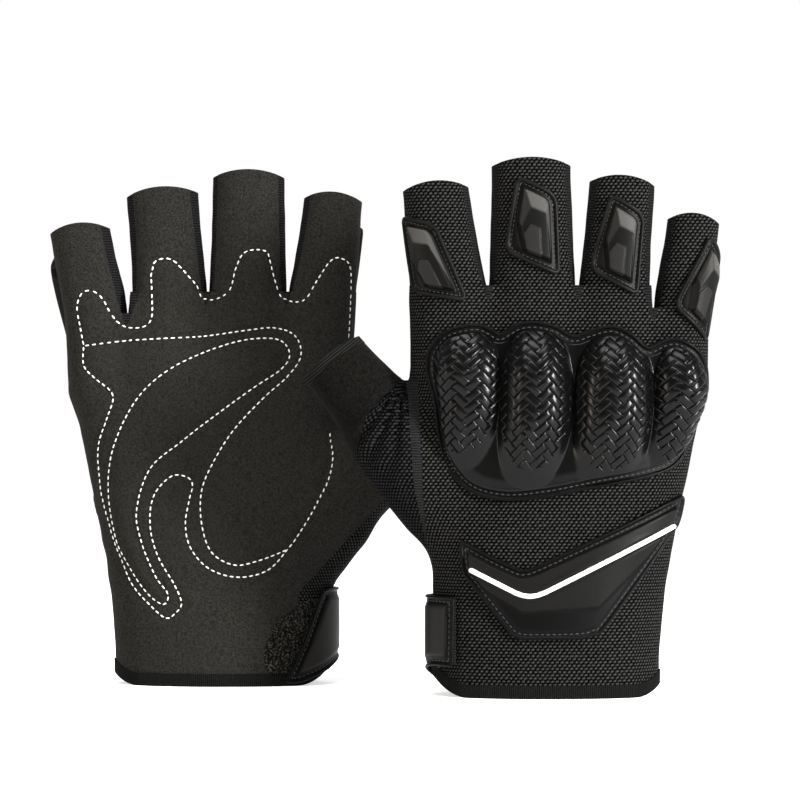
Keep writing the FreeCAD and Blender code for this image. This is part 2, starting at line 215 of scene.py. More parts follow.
def waves(x, y, z, length, seed):
    """Soft, even unevenness: a sum of sines in fixed random directions."""
    rng = np.random.default_rng(seed)
    total = 0.0
    for _ in range(6):
        direction = rng.normal(size=3)
        direction *= 2 * math.pi / (length * rng.uniform(0.7, 1.4) * np.linalg.norm(direction))
        total = total + np.sin(direction[0] * x + direction[1] * y + direction[2] * z + rng.uniform(0, 6.3))
    return total / 6


# ---------------------------------------------------------------- palm stitching

TONGUES = [
    (47.1, 118.0), (48.6, 125.0), (49.4, 131.5), (47.4, 136.4), (44.2, 137.2), (41.0, 135.0), (37.4, 129.0),
    (33.0, 124.8), (26.0, 124.6), (22.9, 128.0), (22.7, 137.0), (22.7, 145.6), (18.8, 148.4), (14.3, 147.2),
    (10.0, 141.4), (5.6, 135.2), (1.8, 134.2), (-3.6, 137.4), (-5.8, 145.0), (-9.0, 150.6), (-15.8, 151.2),
    (-19.0, 147.6), (-20.6, 139.5), (-22.2, 135.2), (-26.0, 133.4), (-30.2, 134.4), (-33.8, 140.4),
    (-38.4, 147.4), (-41.8, 148.6), (-45.4, 145.4), (-46.2, 133.0), (-45.6, 120.5), (-44.6, 109.0)]
EDGE = [
    (47.1, 118.0), (46.9, 111.4), (43.2, 107.0), (37.8, 102.4), (37.0, 98.8), (39.8, 92.0), (43.0, 83.5),
    (43.3, 75.0), (41.9, 63.0), (37.6, 49.0), (31.4, 35.6), (24.0, 27.6), (18.6, 23.6), (15.2, 25.2),
    (12.8, 28.8), (15.6, 35.6), (21.4, 45.2), (24.1, 56.0), (22.6, 66.0), (16.4, 72.6), (10.8, 72.4),
    (8.8, 69.6), (10.0, 64.2), (11.3, 56.0), (9.4, 47.8), (3.0, 40.8), (-7.0, 37.8), (-17.6, 40.0),
    (-25.0, 47.2), (-31.6, 57.0), (-36.4, 69.4), (-39.0, 80.4), (-39.8, 88.0)]
HEEL = [
    (-25.0, 47.2), (-15.2, 43.6), (-6.0, 42.0), (2.0, 46.4), (5.5, 56.0), (5.7, 66.8), (2.4, 75.8),
    (-5.2, 88.2), (-16.0, 99.8), (-24.2, 107.2), (-28.8, 114.4), (-26.8, 121.4), (-19.4, 124.2),
    (-8.8, 123.2), (5.4, 121.3), (23.4, 120.3), (34.2, 119.6), (47.1, 118.0)]
CRESCENT = [
    (33.0, 92.4), (25.2, 103.2), (12.6, 112.2), (-1.6, 118.0), (-12.4, 120.4), (-21.4, 119.9), (-25.0, 115.0),
    (-22.0, 109.8), (-12.2, 103.2), (2.4, 92.6), (12.8, 84.6), (24.0, 75.2), (29.0, 60.6), (27.0, 49.0),
    (22.2, 38.0), (17.8, 32.0), (19.2, 28.4), (24.4, 31.2), (31.4, 40.0), (36.9, 50.6), (39.4, 65.0),
    (38.4, 78.6)]


def curve_through(points, closed=False, spacing=0.6):
    """Points at even spacing along a smooth curve through the given ones."""
    points = np.array(points, float)
    count = len(points)
    spans = count if closed else count - 1
    fine = []
    for i in range(spans):
        if closed:
            p0, p1, p2, p3 = (points[(i + k) % count] for k in (-1, 0, 1, 2))
        else:
            p0, p1, p2, p3 = (points[min(max(i + k, 0), count - 1)] for k in (-1, 0, 1, 2))
        t = np.linspace(0, 1, 24, endpoint=False)[:, None]
        fine.append(0.5 * (2 * p1 + (p2 - p0) * t + (2 * p0 - 5 * p1 + 4 * p2 - p3) * t ** 2
                           + (3 * p1 - p0 - 3 * p2 + p3) * t ** 3))
    fine.append(points[:1] if closed else points[-1:])
    return resample(np.concatenate(fine), spacing)


def travelled(line):
    """Distance gone along a line at each of its points."""
    return np.concatenate([[0], np.cumsum(np.linalg.norm(np.diff(line, axis=0), axis=1))])


def along_line(at, gone, rows):
    """Rows of numbers read at some distances along a line."""
    return np.stack([np.interp(at, gone, column) for column in rows.T], 1)


def resample(line, spacing):
    """Points at even spacing along a line."""
    gone = travelled(line)
    count = max(2, int(round(gone[-1] / spacing)) + 1)
    return along_line(np.linspace(0, gone[-1], count), gone, line)


def unit(vectors):
    return vectors / np.maximum(np.linalg.norm(vectors, axis=1, keepdims=True), 1e-9)


def lean(x, z):
    """How far the rear glove's fingers lean over, compared with the front glove's."""
    places = [-50.0, -23.5, -19.6, 7.2, 13.4, 35.8, 39.5, 57.7]
    return np.interp(x, places, [-0.6, -2.6, -3.2, -4.7, -5.6, -2.4, -0.9, 2.6]) * step(92.0, 140.0, z)


def upright(line):
    """A line measured on the leaning glove, moved to where it lies before the lean."""
    return np.stack([line[:, 0] - lean(line[:, 0], line[:, 1]), line[:, 1]], 1)


def under_gaps(line):
    """A line kept below the feet of the gaps between the fingers."""
    ceiling = np.full(len(line), 200.0)
    for slit, root in zip(SLITS, (WEB, WEB, LITTLE_WEB)):
        aside = np.clip(np.abs(line[:, 0] - slit) - 1.4, 0, None)
        ceiling = np.minimum(ceiling, root - 2.6 + 1.0 * aside ** 1.6)
    return resample(np.stack([line[:, 0], np.minimum(line[:, 1], ceiling)], 1), 0.6)


PALM_LINES = [under_gaps(upright(curve_through(points))) for points in (TONGUES, EDGE, HEEL)]
PALM_LINES.append(upright(curve_through(CRESCENT, True)))


class Raster:
    """Values on a flat grid over x and z, read back anywhere by linear interpolation."""

    def __init__(self, low, high, pitch, make):
        self.low, self.pitch = np.array(low, float), pitch
        counts = [int((b - a) / pitch) + 2 for a, b in zip(low, high)]
        xs, zs = (a + pitch * np.arange(n) for a, n in zip(low, counts))
        self.values = make(*np.meshgrid(xs, zs, indexing="ij"))

    def __call__(self, x, z):
        u = np.clip((x - self.low[0]) / self.pitch, 0, self.values.shape[0] - 1.001)
        v = np.clip((z - self.low[1]) / self.pitch, 0, self.values.shape[1] - 1.001)
        i, j = u.astype(int), v.astype(int)
        u, v = u - i, v - j
        g = self.values
        return ((g[i, j] * (1 - u) + g[i + 1, j] * u) * (1 - v)
                + (g[i, j + 1] * (1 - u) + g[i + 1, j + 1] * u) * v)


def nearest(lines, x, z):
    """Distance from each point to the nearest of some finely divided lines."""
    shape = x.shape
    flat = np.stack([x.ravel(), z.ravel()], 1)
    best = np.full(len(flat), 1e9)
    for line in lines:
        for part in np.array_split(line, max(1, len(line) // 40)):
            gap = np.hypot(flat[:, None, 0] - part[None, :, 0], flat[:, None, 1] - part[None, :, 1])
            best = np.minimum(best, gap.min(axis=1))
    return best.reshape(shape)


def inside(outline, x, z):
    """Whether each point lies within a closed outline."""
    result = np.zeros(x.shape, bool)
    for (x0, z0), (x1, z1) in zip(outline, np.roll(outline, -1, axis=0)):
        if z0 != z1:
            crosses = (z0 > z) != (z1 > z)
            result ^= crosses & (x < x0 + (z - z0) * (x1 - x0) / (z1 - z0))
    return result


def signed(outline, x, z):
    """Distance to a closed outline, negative inside."""
    gap = nearest([outline], x, z)
    return np.where(inside(outline, x, z), -gap, gap)


# Points at the start of the heel's line and at the end of the edge's that go round the ball of the thumb.
HEEL_POINTS, EDGE_POINTS = 70, 60
QUILTING = 0.55  # depth of the grooves and height of the swells


def palm_relief(x, z):
    """Quilting: a groove along each line of stitches and a swell over the pads."""
    _, edge, heel, crescent = PALM_LINES
    groove = nearest([line[::2] for line in PALM_LINES], x, z)
    swell = 0.0
    for line in (crescent, np.concatenate([heel[:HEEL_POINTS], edge[-EDGE_POINTS:]])):
        swell = swell + QUILTING * step(0.0, 5.0, -signed(line[::2], x, z))
    return swell - QUILTING * np.exp(-(groove / 1.3) ** 2)


PALM_RELIEF = Raster((-52, 18), (56, 158), 1.0, palm_relief)


def strip_half(name, x, centre, width):
    """Half depth of the knitted strip at this side of the finger, 0 where there is none."""
    low, high = STRIPS[name]
    toward = (x - centre) / width
    return STRIP_HALF * (high * step(0.35, 0.75, toward) + low * step(0.35, 0.75, -toward))


class Skin:
    """The fabric's outer surface as a field, for one glove."""

    def __init__(self, spec):
        self.thumb_deg, self.seed, self.heel_web = spec["thumb_deg"], spec["seed"], spec["web"]

    def relief(self, x, y, z):
        """How far the cloth stands out from its plain form."""
        out = 0.32 * waves(x, y, z, 26.0, self.seed) + 0.12 * waves(x, y, z, 9.0, self.seed + 1)
        palm = step(0.0, 4.0, y)
        out = out + palm * PALM_RELIEF(x, z)
        wrist = np.exp(-((z - 44.0) / 12.0) ** 2)
        out = out + 0.4 * wrist * waves(x, 0 * y, 1.6 * z, 17.0, self.seed + 2)
        return out + self.folds(x, y, z)

    def folds(self, x, y, z):
        """Folds that fan out from the notch at the foot of the thumb, on the back of the hand."""
        along, across = thumb_frame(self.thumb_deg, x, z)
        notch_along, notch_across = 34.2, 12.0
        reach = np.hypot(along - notch_along, across - notch_across)
        turn = np.degrees(np.arctan2(across - notch_across, notch_along - along))
        fan = np.cos(2 * math.pi * (turn + 92.0 + 0.25 * reach) / 15.0)
        hold = step(-95, -82, turn) * step(-22, -34, turn) * step(1.5, 7, reach) * step(42, 18, reach)
        return 0.95 * fan * hold * step(2.0, -4.0, y)

    def hand(self, x, y, z):
        centre, width, depth, square = hand_section(z)
        return oval((x - centre, width), (y, depth), square)

    def thumbed(self, field, x, y, z):
        field = union(field, thumb_field(self.thumb_deg, x, y, z), 6.0)
        if self.heel_web:
            field = union(field, heel_web(x, y, z), 7.0)
        return field

    def lower(self, x, y, z):
        """Hand with the roots of all the fingers, and the thumb."""
        field = with_fingers(self.hand(x, y, z), FINGERS, x, y, z)
        return self.thumbed(field, x, y, z) - self.relief(x, y, z)

    def upper(self, x, y, z):
        """Hand between the little finger's notch and the others'."""
        field = np.maximum(self.hand(x, y, z), x - SLITS[2] + 0.3)
        return with_fingers(field, ("index", "middle", "ring"), x, y, z) - self.relief(x, y, z)

    def finger(self, name):
        def field(x, y, z):
            centre, width, _ = finger_section(name, z)
            edge = strip_half(name, x, centre, width)
            seam = np.exp(-((np.abs(y) - edge) / 0.8) ** 2) * 0.35
            seam = seam * step(root_of(name), root_of(name) + 6, z)
            return finger_field(name, x, y, z) + seam - self.relief(x, y, z)
        return field

    def firm(self, x, y, z):
        """Hand and finger roots without the cloth's unevenness, for stiff guards to lie on."""
        field = self.hand(x, y, z)
        for name in FINGERS:
            field = union(field, finger_field(name, x, y, z), 9.0)
        return field


def gradient(field, points, reach=0.25):
    """Unit normals of a field."""
    parts = []
    for axis in range(3):
        ahead, behind = points.copy(), points.copy()
        ahead[:, axis] += reach
        behind[:, axis] -= reach
        parts.append((field(*ahead.T) - field(*behind.T)) / (2 * reach))
    slope = np.stack(parts, 1)
    size = np.linalg.norm(slope, axis=1, keepdims=True)
    return slope / np.maximum(size, 1e-6), size[:, 0]


# ---------------------------------------------------------------- meshes from fields

def crossings(values, axis):
    """Where a grid's lines along an axis cross zero, the four cells round each place, and which face out."""
    near, far = np.delete(values, -1, axis), np.delete(values, 0, axis)
    cells = np.array(values.shape) - 1
    strides = np.array([cells[1] * cells[2], cells[2], 1])
    index = np.argwhere((near < 0) != (far < 0))
    u, v = (axis + 1) % 3, (axis + 2) % 3
    keep = (index[:, u] > 0) & (index[:, u] < cells[u]) & (index[:, v] > 0) & (index[:, v] < cells[v])
    index = index[keep]
    near, far = near[tuple(index.T)], far[tuple(index.T)]
    places = index.astype(float)
    places[:, axis] += near / (near - far)
    base = index @ strides
    corners = [base - i * strides[u] - j * strides[v] for i, j in ((0, 0), (1, 0), (1, 1), (0, 1))]
    return places, np.stack(corners, 1), near < 0


def surface_net(field, low, high, pitch):
    """Points and quads on the zero surface of a field: one point in each cell that it passes through."""
    low, pitch = np.array(low, float), np.array(pitch, float) * np.ones(3)
    shape = np.ceil((np.array(high) - low) / pitch).astype(int) + 1
    grid = np.meshgrid(*[low[k] + pitch[k] * np.arange(shape[k]) for k in range(3)], indexing="ij")
    values = field(*grid)
    total = int((shape - 1).prod())
    sums, counts, quads = np.zeros((3, total)), np.zeros(total), []
    for axis in range(3):
        places, corners, outward = crossings(values, axis)
        for corner in corners.T:
            counts += np.bincount(corner, minlength=total)
            for k in range(3):
                sums[k] += np.bincount(corner, weights=places[:, k], minlength=total)
        corners[~outward] = corners[~outward][:, ::-1]
        quads.append(corners)
    used = np.flatnonzero(counts)
    lookup = np.full(total, -1)
    lookup[used] = np.arange(len(used))
    points = low + (sums[:, used] / counts[used]).T * pitch
    return points, lookup[np.concatenate(quads)]


def settle(field, points, rounds=3, most=0.6):
    """Move points on to the zero surface."""
    for _ in range(rounds):
        normals, size = gradient(field, points)
        move = np.clip(-field(*points.T) / np.maximum(size, 0.3), -most, most)
        points = points + normals * move[:, None]
    return points


def skin_mesh(field, low, high, pitch=1.0):
    points, quads = surface_net(field, low, high, pitch)
    return settle(field, points), [tuple(q) for q in quads.tolist()]


def edges_of(face):
    return zip(face, face[1:] + face[:1])


def compact(points, faces):
    """Only the points that the faces use."""
    used = sorted({i for face in faces for i in face})
    place = {old: new for new, old in enumerate(used)}
    return points[used] if used else np.zeros((0, 3)), [tuple(place[i] for i in face) for face in faces]


def split(mesh, value):
    """The parts of a mesh where a value of its points is below zero and above it."""
    points, faces = mesh
    if not faces:
        return (points, []), (points, [])
    values = value(*points.T)
    values = np.where(np.abs(values) < 1e-5, 1e-5, values)
    above = (values > 0).tolist()
    extra, known, sides = [], {}, ([], [])

    def cut(i, j):
        """Number of the point where the edge from i to j is cut."""
        key = (min(i, j), max(i, j))
        if key not in known:
            known[key] = len(points) + len(extra)
            share = values[i] / (values[i] - values[j])
            extra.append(points[i] + (points[j] - points[i]) * share)
        return known[key]

    for face in faces:
        found = {above[i] for i in face}
        if len(found) == 1:
            sides[found.pop()].append(face)
            continue
        parts = ([], [])
        for i, j in edges_of(face):
            parts[above[i]].append(i)
            if above[i] != above[j]:
                for part in parts:
                    part.append(cut(i, j))
        for side, part in zip(sides, parts):
            if len(part) > 2:
                side.append(tuple(part))
    every = np.vstack([points, np.array(extra).reshape(-1, 3)])
    return compact(every, sides[0]), compact(every, sides[1])


def joined(*meshes):
    points, faces, base = [], [], 0
    for mesh_points, mesh_faces in meshes:
        points.append(mesh_points)
        faces += [tuple(i + base for i in face) for face in mesh_faces]
        base += len(mesh_points)
    return np.vstack(points), faces


def thicken(mesh, outward, depth=CLOTH):
    """Give a surface an inner face and a rim. Also returns which old point each new one comes from."""
    points, faces = mesh
    inner = points - outward * depth
    count = len(points)
    edges = dict.fromkeys(edge for face in faces for edge in edges_of(face))
    border = [edge for edge in edges if edge[::-1] not in edges]
    rim_points, rim_faces, place, source = [], [], {}, []
    for i, j in border:
        for k in (i, j):
            if k not in place:
                place[k] = 2 * count + len(rim_points)
                rim_points += [points[k], inner[k]]
                source += [k, k]
        rim_faces.append((place[j], place[i], place[i] + 1, place[j] + 1))
    every = np.vstack([points, inner, np.array(rim_points).reshape(-1, 3)])
    backs = [tuple(i + count for i in reversed(face)) for face in faces]
    source = np.concatenate([np.arange(count), np.arange(count), source]).astype(int)
    return (every, faces + backs + rim_faces), source


def build(name, glove, mesh, material, weave=None):
    """A Blender object from points in the glove's own frame."""
    points, faces = mesh
    spec = GLOVES[glove]
    placed = np.array(points, float)
    placed[:, 0] += spec["lean"] * lean(placed[:, 0], placed[:, 2])
    placed *= (spec["side"], spec["side"], 1.0)
    placed = (placed + (spec["x"], spec["y"], 0.0)) / 1000
    data = bpy.data.meshes.new(f"{glove}_{name}")
    data.from_pydata(placed.tolist(), [], faces, shade_flat=False)
    data.validate()
    if weave is not None:
        layer = data.attributes.new("weave", "FLOAT_VECTOR", "POINT")
        layer.data.foreach_set("vector", np.asarray(weave, float).ravel())
    data.materials.append(material)
    piece = bpy.data.objects.new(f"{glove}_{name}", data)
    bpy.context.scene.collection.objects.link(piece)
    return piece


# ---------------------------------------------------------------- materials

MESH_LOOP, MESH_ROW = 1.6, 1.05  # width and height of the knitted mesh's loops
STRAND = 2.6  # width of the knuckle braid's strands
FINE_RIB = 0.55  # pitch of the stitches across a ribbed knit


class Value:
    """A number worked out by nodes. Sums with it add math nodes to its material."""

    def __init__(self, tree, socket):
        self.tree, self.socket = tree, socket

    def math(self, operation, *values):
        maths = self.tree.nodes.new("ShaderNodeMath")
        maths.operation = operation
        for slot, value in zip(maths.inputs, values):
            if isinstance(value, Value):
                self.tree.links.new(value.socket, slot)
            else:
                slot.default_value = value
        return Value(self.tree, maths.outputs[0])

    def __add__(self, other):
        return self.math("ADD", self, other)

    def __radd__(self, other):
        return self.math("ADD", other, self)

    def __sub__(self, other):
        return self.math("SUBTRACT", self, other)

    def __mul__(self, other):
        return self.math("MULTIPLY", self, other)

    def __truediv__(self, other):
        return self.math("DIVIDE", self, other)

    def __mod__(self, other):
        return self.math("FLOORED_MODULO", self, other)

    def __pow__(self, other):
        return self.math("POWER", self, other)

    def __abs__(self):
        return self.math("ABSOLUTE", self)

    def sine(self):
        return self.math("SINE", self)

    def floor(self):
        return self.math("FLOOR", self)

    def fraction(self):
        return self.math("FRACT", self)


class Shader:
    """A procedural material, built up from a few kinds of node."""

    def __init__(self, name, colour, roughness, sheen=0.0, gloss=0.15):
        self.material = bpy.data.materials.new(name)
        self.material.use_nodes = True
        self.tree = self.material.node_tree
        self.surface = self.tree.nodes["Principled BSDF"]
        self.surface.inputs["Base Color"].default_value = (*colour, 1.0)
        self.surface.inputs["Roughness"].default_value = roughness
        self.surface.inputs["Specular IOR Level"].default_value = gloss
        self.surface.inputs["Sheen Weight"].default_value = sheen
        self.surface.inputs["Sheen Roughness"].default_value = 0.45

    def place(self):
        """Cloth coordinates in millimetres."""
        source = self.tree.nodes.new("ShaderNodeAttribute")
        source.attribute_name = "weave"
        return source.outputs["Vector"]

    def object_mm(self):
        """Object coordinates in millimetres."""
        source = self.tree.nodes.new("ShaderNodeTexCoord")
        scale = self.tree.nodes.new("ShaderNodeVectorMath")
        scale.operation = "SCALE"
        scale.inputs["Scale"].default_value = 1000.0
        self.tree.links.new(source.outputs["Object"], scale.inputs[0])
        return scale.outputs[0]

    def weave(self):
        """The cloth coordinates as values: across, up, and a third that the rubber uses as painted light and
        the hard shell as the mask of its painted shade.
        """
        parts = self.tree.nodes.new("ShaderNodeSeparateXYZ")
        self.tree.links.new(self.place(), parts.inputs[0])
        return [Value(self.tree, output) for output in parts.outputs]

    def noise(self, vector, scale, detail=2.0):
        noise = self.tree.nodes.new("ShaderNodeTexNoise")
        noise.inputs["Scale"].default_value = scale
        noise.inputs["Detail"].default_value = detail
        self.tree.links.new(vector, noise.inputs["Vector"])
        return Value(self.tree, noise.outputs["Fac"])

    def tint(self, factor, dark, light, low=0.0, high=1.0):
        """Base colour from one to the other as factor goes from low to high."""
        ramp = self.tree.nodes.new("ShaderNodeMapRange")
        ramp.inputs["From Min"].default_value = low
        ramp.inputs["From Max"].default_value = high
        self.tree.links.new(factor.socket, ramp.inputs["Value"])
        mix = self.tree.nodes.new("ShaderNodeMix")
        mix.data_type = "RGBA"
        mix.inputs["A"].default_value = (*dark, 1.0)
        mix.inputs["B"].default_value = (*light, 1.0)
        self.tree.links.new(ramp.outputs[0], mix.inputs["Factor"])
        self.tree.links.new(mix.outputs["Result"], self.surface.inputs["Base Color"])

    def bump(self, height, depth_mm, strength=1.0):
        bump = self.tree.nodes.new("ShaderNodeBump")
        bump.inputs["Strength"].default_value = strength
        bump.inputs["Distance"].default_value = depth_mm / 1000
        self.tree.links.new(height.socket, bump.inputs["Height"])
        self.tree.links.new(bump.outputs[0], self.surface.inputs["Normal"])


def mesh_fabric(name, light):
    """Knitted mesh: staggered rows of slanting loops with gaps between them. The loops are painted paler, a
    painted highlight on the yarn, and the gaps near black, painted shade in the holes.
    """
    shader = Shader(name, light, 0.75, gloss=0.02)
    u, v, _ = shader.weave()
    shift = (v / MESH_ROW).floor() % 2.0 * 0.5
    across = (u / MESH_LOOP + shift).fraction() - 0.5
    up = ((v / MESH_ROW).fraction() - 0.5) * 2.0
    aside = (across + up * -0.13) * 2.2
    far = (aside * aside + up * up) ** 0.5
    # painted light: paler on the loops' tops as a highlight, near black in the gaps as shade
    painted_loop_light = 0.75 + shader.noise(shader.place(), 0.9, 3.0) * 0.9 - far
    shader.tint(painted_loop_light, (0.0003, 0.0003, 0.0003), light, 0.27, 1.0)
    shader.bump(painted_loop_light, 0.5, 0.8)
    return shader.material


def microfibre(name, dark, light):
    """Sueded cloth with a fine grain."""
    shader = Shader(name, light, 0.95, sheen=0.02, gloss=0.02)
    grain = shader.noise(shader.object_mm(), 1.5, 5.0)
    shader.tint(grain, dark, light, 0.36, 0.64)
    shader.bump(grain, 0.3, 0.5)
    return shader.material


def ribbed(name, dark, light, pitch, along):
    """Ribbed knit. Ribs run up the cloth, or across it. The colour follows the ribs' height: painted
    highlight on the crests, painted shade in the troughs.
    """
    shader = Shader(name, dark, 0.85, gloss=0.03)
    u, v, _ = shader.weave()
    ribs = ((u if along else v) * (2 * math.pi / pitch)).sine()
    fine = ((v if along else u) * (2 * math.pi / FINE_RIB)).sine()
    height = ribs + fine * 0.3
    # painted light: crests paler, troughs darker
    shader.tint(height, dark, light, -1.0, 1.0)
    shader.bump(height, 0.22, 0.9)
    return shader.material


def rubber():
    """Satin moulded rubber, painted paler or darker with the third cloth coordinate: painted light, paler on
    facets that face the lamps.
    """
    shader = Shader("rubber", (0.018, 0.018, 0.019), 0.42, gloss=0.07)
    _, _, painted_light = shader.weave()
    # painted light: near black for shaded faces, pale grey for faces lit by the lamps
    shader.tint(painted_light, (0.0012, 0.0012, 0.0011), (0.052, 0.05, 0.047))
    shader.bump(shader.noise(shader.object_mm(), 1.4), 0.06, 0.5)
    return shader.material


def hard_shell():
    """Gloss plastic. The gaps between the braid's flat strands are painted near black: painted shade in the
    grooves, which also get a bump.
    """
    shader = Shader("hard_shell", (0.003, 0.003, 0.003), 0.24, gloss=0.14)
    u, v, braided = shader.weave()
    width = STRAND * math.sqrt(2)
    along, over = (u + v) / width, (u - v) / width
    part_along, part_over = along.fraction(), over.fraction()
    place = (along.floor() + over.floor()) % 4.0
    second = place.math("GREATER_THAN", place, 1.5)
    aside = part_over + (part_along - part_over) * second
    length = (place - second * 2.0 + part_along + (part_over - part_along) * second) / 2.0
    gap = u.math("MAXIMUM", abs(aside * 2.0 - 1.0) ** 11.0, abs(length * 2.0 - 1.0) ** 26.0) * braided
    # painted shade in the gaps between the braid's strands
    shader.tint(gap, (0.0016, 0.0016, 0.0015), (0.0002, 0.0002, 0.0002), 0.15, 0.6)
    shader.bump(gap * -1.0, 0.25, 0.9)
    return shader.material


def loop_pile():
    """Tangled loops: pale fibre ends over a dark ground."""
    shader = Shader("loop_pile", (0.01, 0.01, 0.009), 0.9, gloss=0.05)
    tangle = shader.noise(shader.object_mm(), 1.5, 5.0)
    shader.tint(tangle, (0.002, 0.0019, 0.0016), (0.06, 0.058, 0.05), 0.48, 0.72)
    shader.bump(tangle, 1.1, 0.9)
    return shader.material


def plain(name, colour, roughness, grain, depth):
    """One colour with a fine bump: how many grains to a millimetre, and how deep they are."""
    shader = Shader(name, colour, roughness)
    shader.bump(shader.noise(shader.object_mm(), grain), depth, 0.5)
    return shader.material


MATERIALS = {
    "mesh_fabric": mesh_fabric("mesh_fabric", (0.037, 0.037, 0.0348)),
    # A darker, slightly cooler copy of the mesh for the thumb: the cooler tone is the fabric's own, the
    # darkness is painted shade.
    "mesh_thumb_painted_shade": mesh_fabric("mesh_thumb_painted_shade", (0.02, 0.02, 0.021)),
    "microfibre": microfibre("microfibre", (0.0078, 0.0076, 0.0067), (0.019, 0.0184, 0.0162)),
    # A darker copy of the microfibre for the thumb stall: painted shade.
    "microfibre_thumb_painted_shade": microfibre("microfibre_thumb_painted_shade", (0.002, 0.0018, 0.0016), (0.0062, 0.0055, 0.0048)),
    "knit": ribbed("knit", (0.003, 0.003, 0.0032), (0.014, 0.014, 0.0145), 0.9, False),
    "gusset": ribbed("gusset", (0.007, 0.007, 0.0075), (0.02, 0.02, 0.021), 0.9, False),
    "binding": ribbed("binding", (0.004, 0.004, 0.0038), (0.008, 0.008, 0.0076), 0.7, True),
    "lining": plain("lining", (0.01, 0.01, 0.01), 0.9, 2.0, 0.2),
    "foam": plain("foam", (0.05, 0.05, 0.05), 0.9, 3.0, 0.3),
    "rubber": rubber(),
    "hard_shell": hard_shell(),
    "reflective": plain("reflective", (0.8, 0.8, 0.8), 0.35, 1.0, 0.05),
    "thread_white": plain("thread_white", (0.72, 0.71, 0.68), 0.7, 3.0, 0.1),
    "thread_grey": plain("thread_grey", (0.035, 0.035, 0.036), 0.7, 3.0, 0.1),
    "loop_pile": loop_pile(),
    "hook_tape": plain("hook_tape", (0.02, 0.02, 0.02), 0.6, 2.5, 0.5),
}


# ---------------------------------------------------------------- laying pieces on the gloves

class Outline:
    """A closed curve and the distance to it, negative inside."""

    def __init__(self, points, pitch=0.5):
        self.line = curve_through(points, True, 0.35)
        self.low, self.high = self.line.min(axis=0) - 3.0, self.line.max(axis=0) + 3.0
        self.gap = Raster(self.low, self.high, pitch, lambda x, z: signed(self.line, x, z))

    def inset(self, depth):
        """The curve at some depth inside."""
        step_along = np.roll(self.line, -1, axis=0) - np.roll(self.line, 1, axis=0)
        normal = unit(np.stack([step_along[:, 1], -step_along[:, 0]], 1))
        probe = self.line + normal * 0.8
        if self.gap(probe[:, 0], probe[:, 1]).mean() > 0:
            normal = -normal
        line = self.line + normal * depth
        good = self.gap(line[:, 0], line[:, 1]) < -0.8 * depth
        line = line[good]
        return resample(np.vstack([line, line[:1]]), 0.4)


class Inset:
    """The area some depth inside an outline."""

    def __init__(self, outline, depth):
        self.low, self.high = outline.low, outline.high
        self.gap = lambda x, z: outline.gap(x, z) + depth


def plate(outline, top, bottom, highest, pitch=0.5):
    """A closed solid over an outline, between two heights given as functions of place, under highest."""
    def field(p, q, h):
        gap = outline.gap(p, q)
        body = np.maximum(h - top(p, q, gap), bottom(p, q, gap) - h)
        return -union(-body, -gap, 0.5)
    low = (outline.low[0], outline.low[1], -3.2)
    high = (outline.high[0], outline.high[1], highest + 1.0)
    points, quads = surface_net(field, low, high, (pitch, pitch, 0.35))
    return settle(field, points, 2, 0.3), [tuple(q) for q in quads.tolist()]


def level(height):
    """A flat top or bottom for a plate."""
    return lambda p, q, gap: height + 0 * p


def flat_weave(mesh, painted_light=0.0):
    """Cloth coordinates of a plate: its own flat place, and painted light for the rubber in the third."""
    points = mesh[0]
    return np.stack([points[:, 0], points[:, 1], painted_light + 0 * points[:, 0]], 1)


def flipped(mesh):
    return mesh[0], [tuple(reversed(face)) for face in mesh[1]]


def on_hand(field, side, x, z, h):
    """Points at height h over the back (side -1) or the palm (side 1), and the normals there."""
    centre, width, depth, square = hand_section(z)
    u = np.clip((x - centre) / (width + 2), -0.9995, 0.9995)
    through = (1 - np.abs(u) ** square) ** (1 / square)
    normal = unit(np.stack([np.sign(u) * np.abs(u) ** (square - 1) / (width + 2),
                            side * through ** (square - 1) / (depth + 2), 0 * u], 1))
    point = np.stack([centre + (width + 2) * u, side * (depth + 2) * through, z + 0 * u], 1)
    for _ in range(7):
        point = point - normal * field(*point.T)[:, None]
    return point + normal * np.asarray(h).reshape(-1, 1), normal


# Finger guards: roll round the finger and tilt, in degrees, and the height where the guard's own q is 0.
GUARDS = {
    "index": (-29.0, 15.0, 129.8),
    "middle": (0.0, 0.0, 141.0),
    "ring": (0.0, -3.0, 134.8),
    "little": (38.0, -13.0, 120.6),
}


def on_finger(name, p, q, h):
    """Points over a finger guard's place: p round the finger, q up it."""
    roll, tilt, low = GUARDS[name]
    turn = math.radians(tilt)
    across = p * math.cos(turn) - (q - 15) * math.sin(turn)
    z = low + 15 + p * math.sin(turn) + (q - 15) * math.cos(turn)
    centre, width, depth = finger_section(name, z)
    angle = math.radians(roll) + across / (0.5 * (width + depth) + 1.5)
    sine, cosine = np.sin(angle), np.cos(angle)
    point = np.stack([centre + sine * (width + h), -cosine * (depth + h), z], 1)
    return point, unit(np.stack([sine / width, -cosine / depth, 0 * z], 1))


def wrist_angles():
    """Distance round the wrist from its thumb-side edge against the angle there."""
    turns = np.linspace(-2.6, 2.6, 521)
    _, width, depth, _ = hand_section(np.full(1, 21.0))
    x, y = -np.cos(turns) * width[0], np.sin(turns) * depth[0]
    gone = travelled(np.stack([x, y], 1))
    return gone - gone[len(turns) // 2], turns


WRIST = wrist_angles()


def on_wrist(p, z, h):
    """Points round the thumb side of the wrist: p is the distance from its edge, towards the palm."""
    turn = np.interp(p, *WRIST)
    centre, width, depth, _ = hand_section(z)
    normal = unit(np.stack([-np.cos(turn) / width, np.sin(turn) / depth, 0 * z], 1))
    point = np.stack([centre - np.cos(turn) * width, np.sin(turn) * depth, z], 1)
    return point + normal * np.asarray(h).reshape(-1, 1), normal


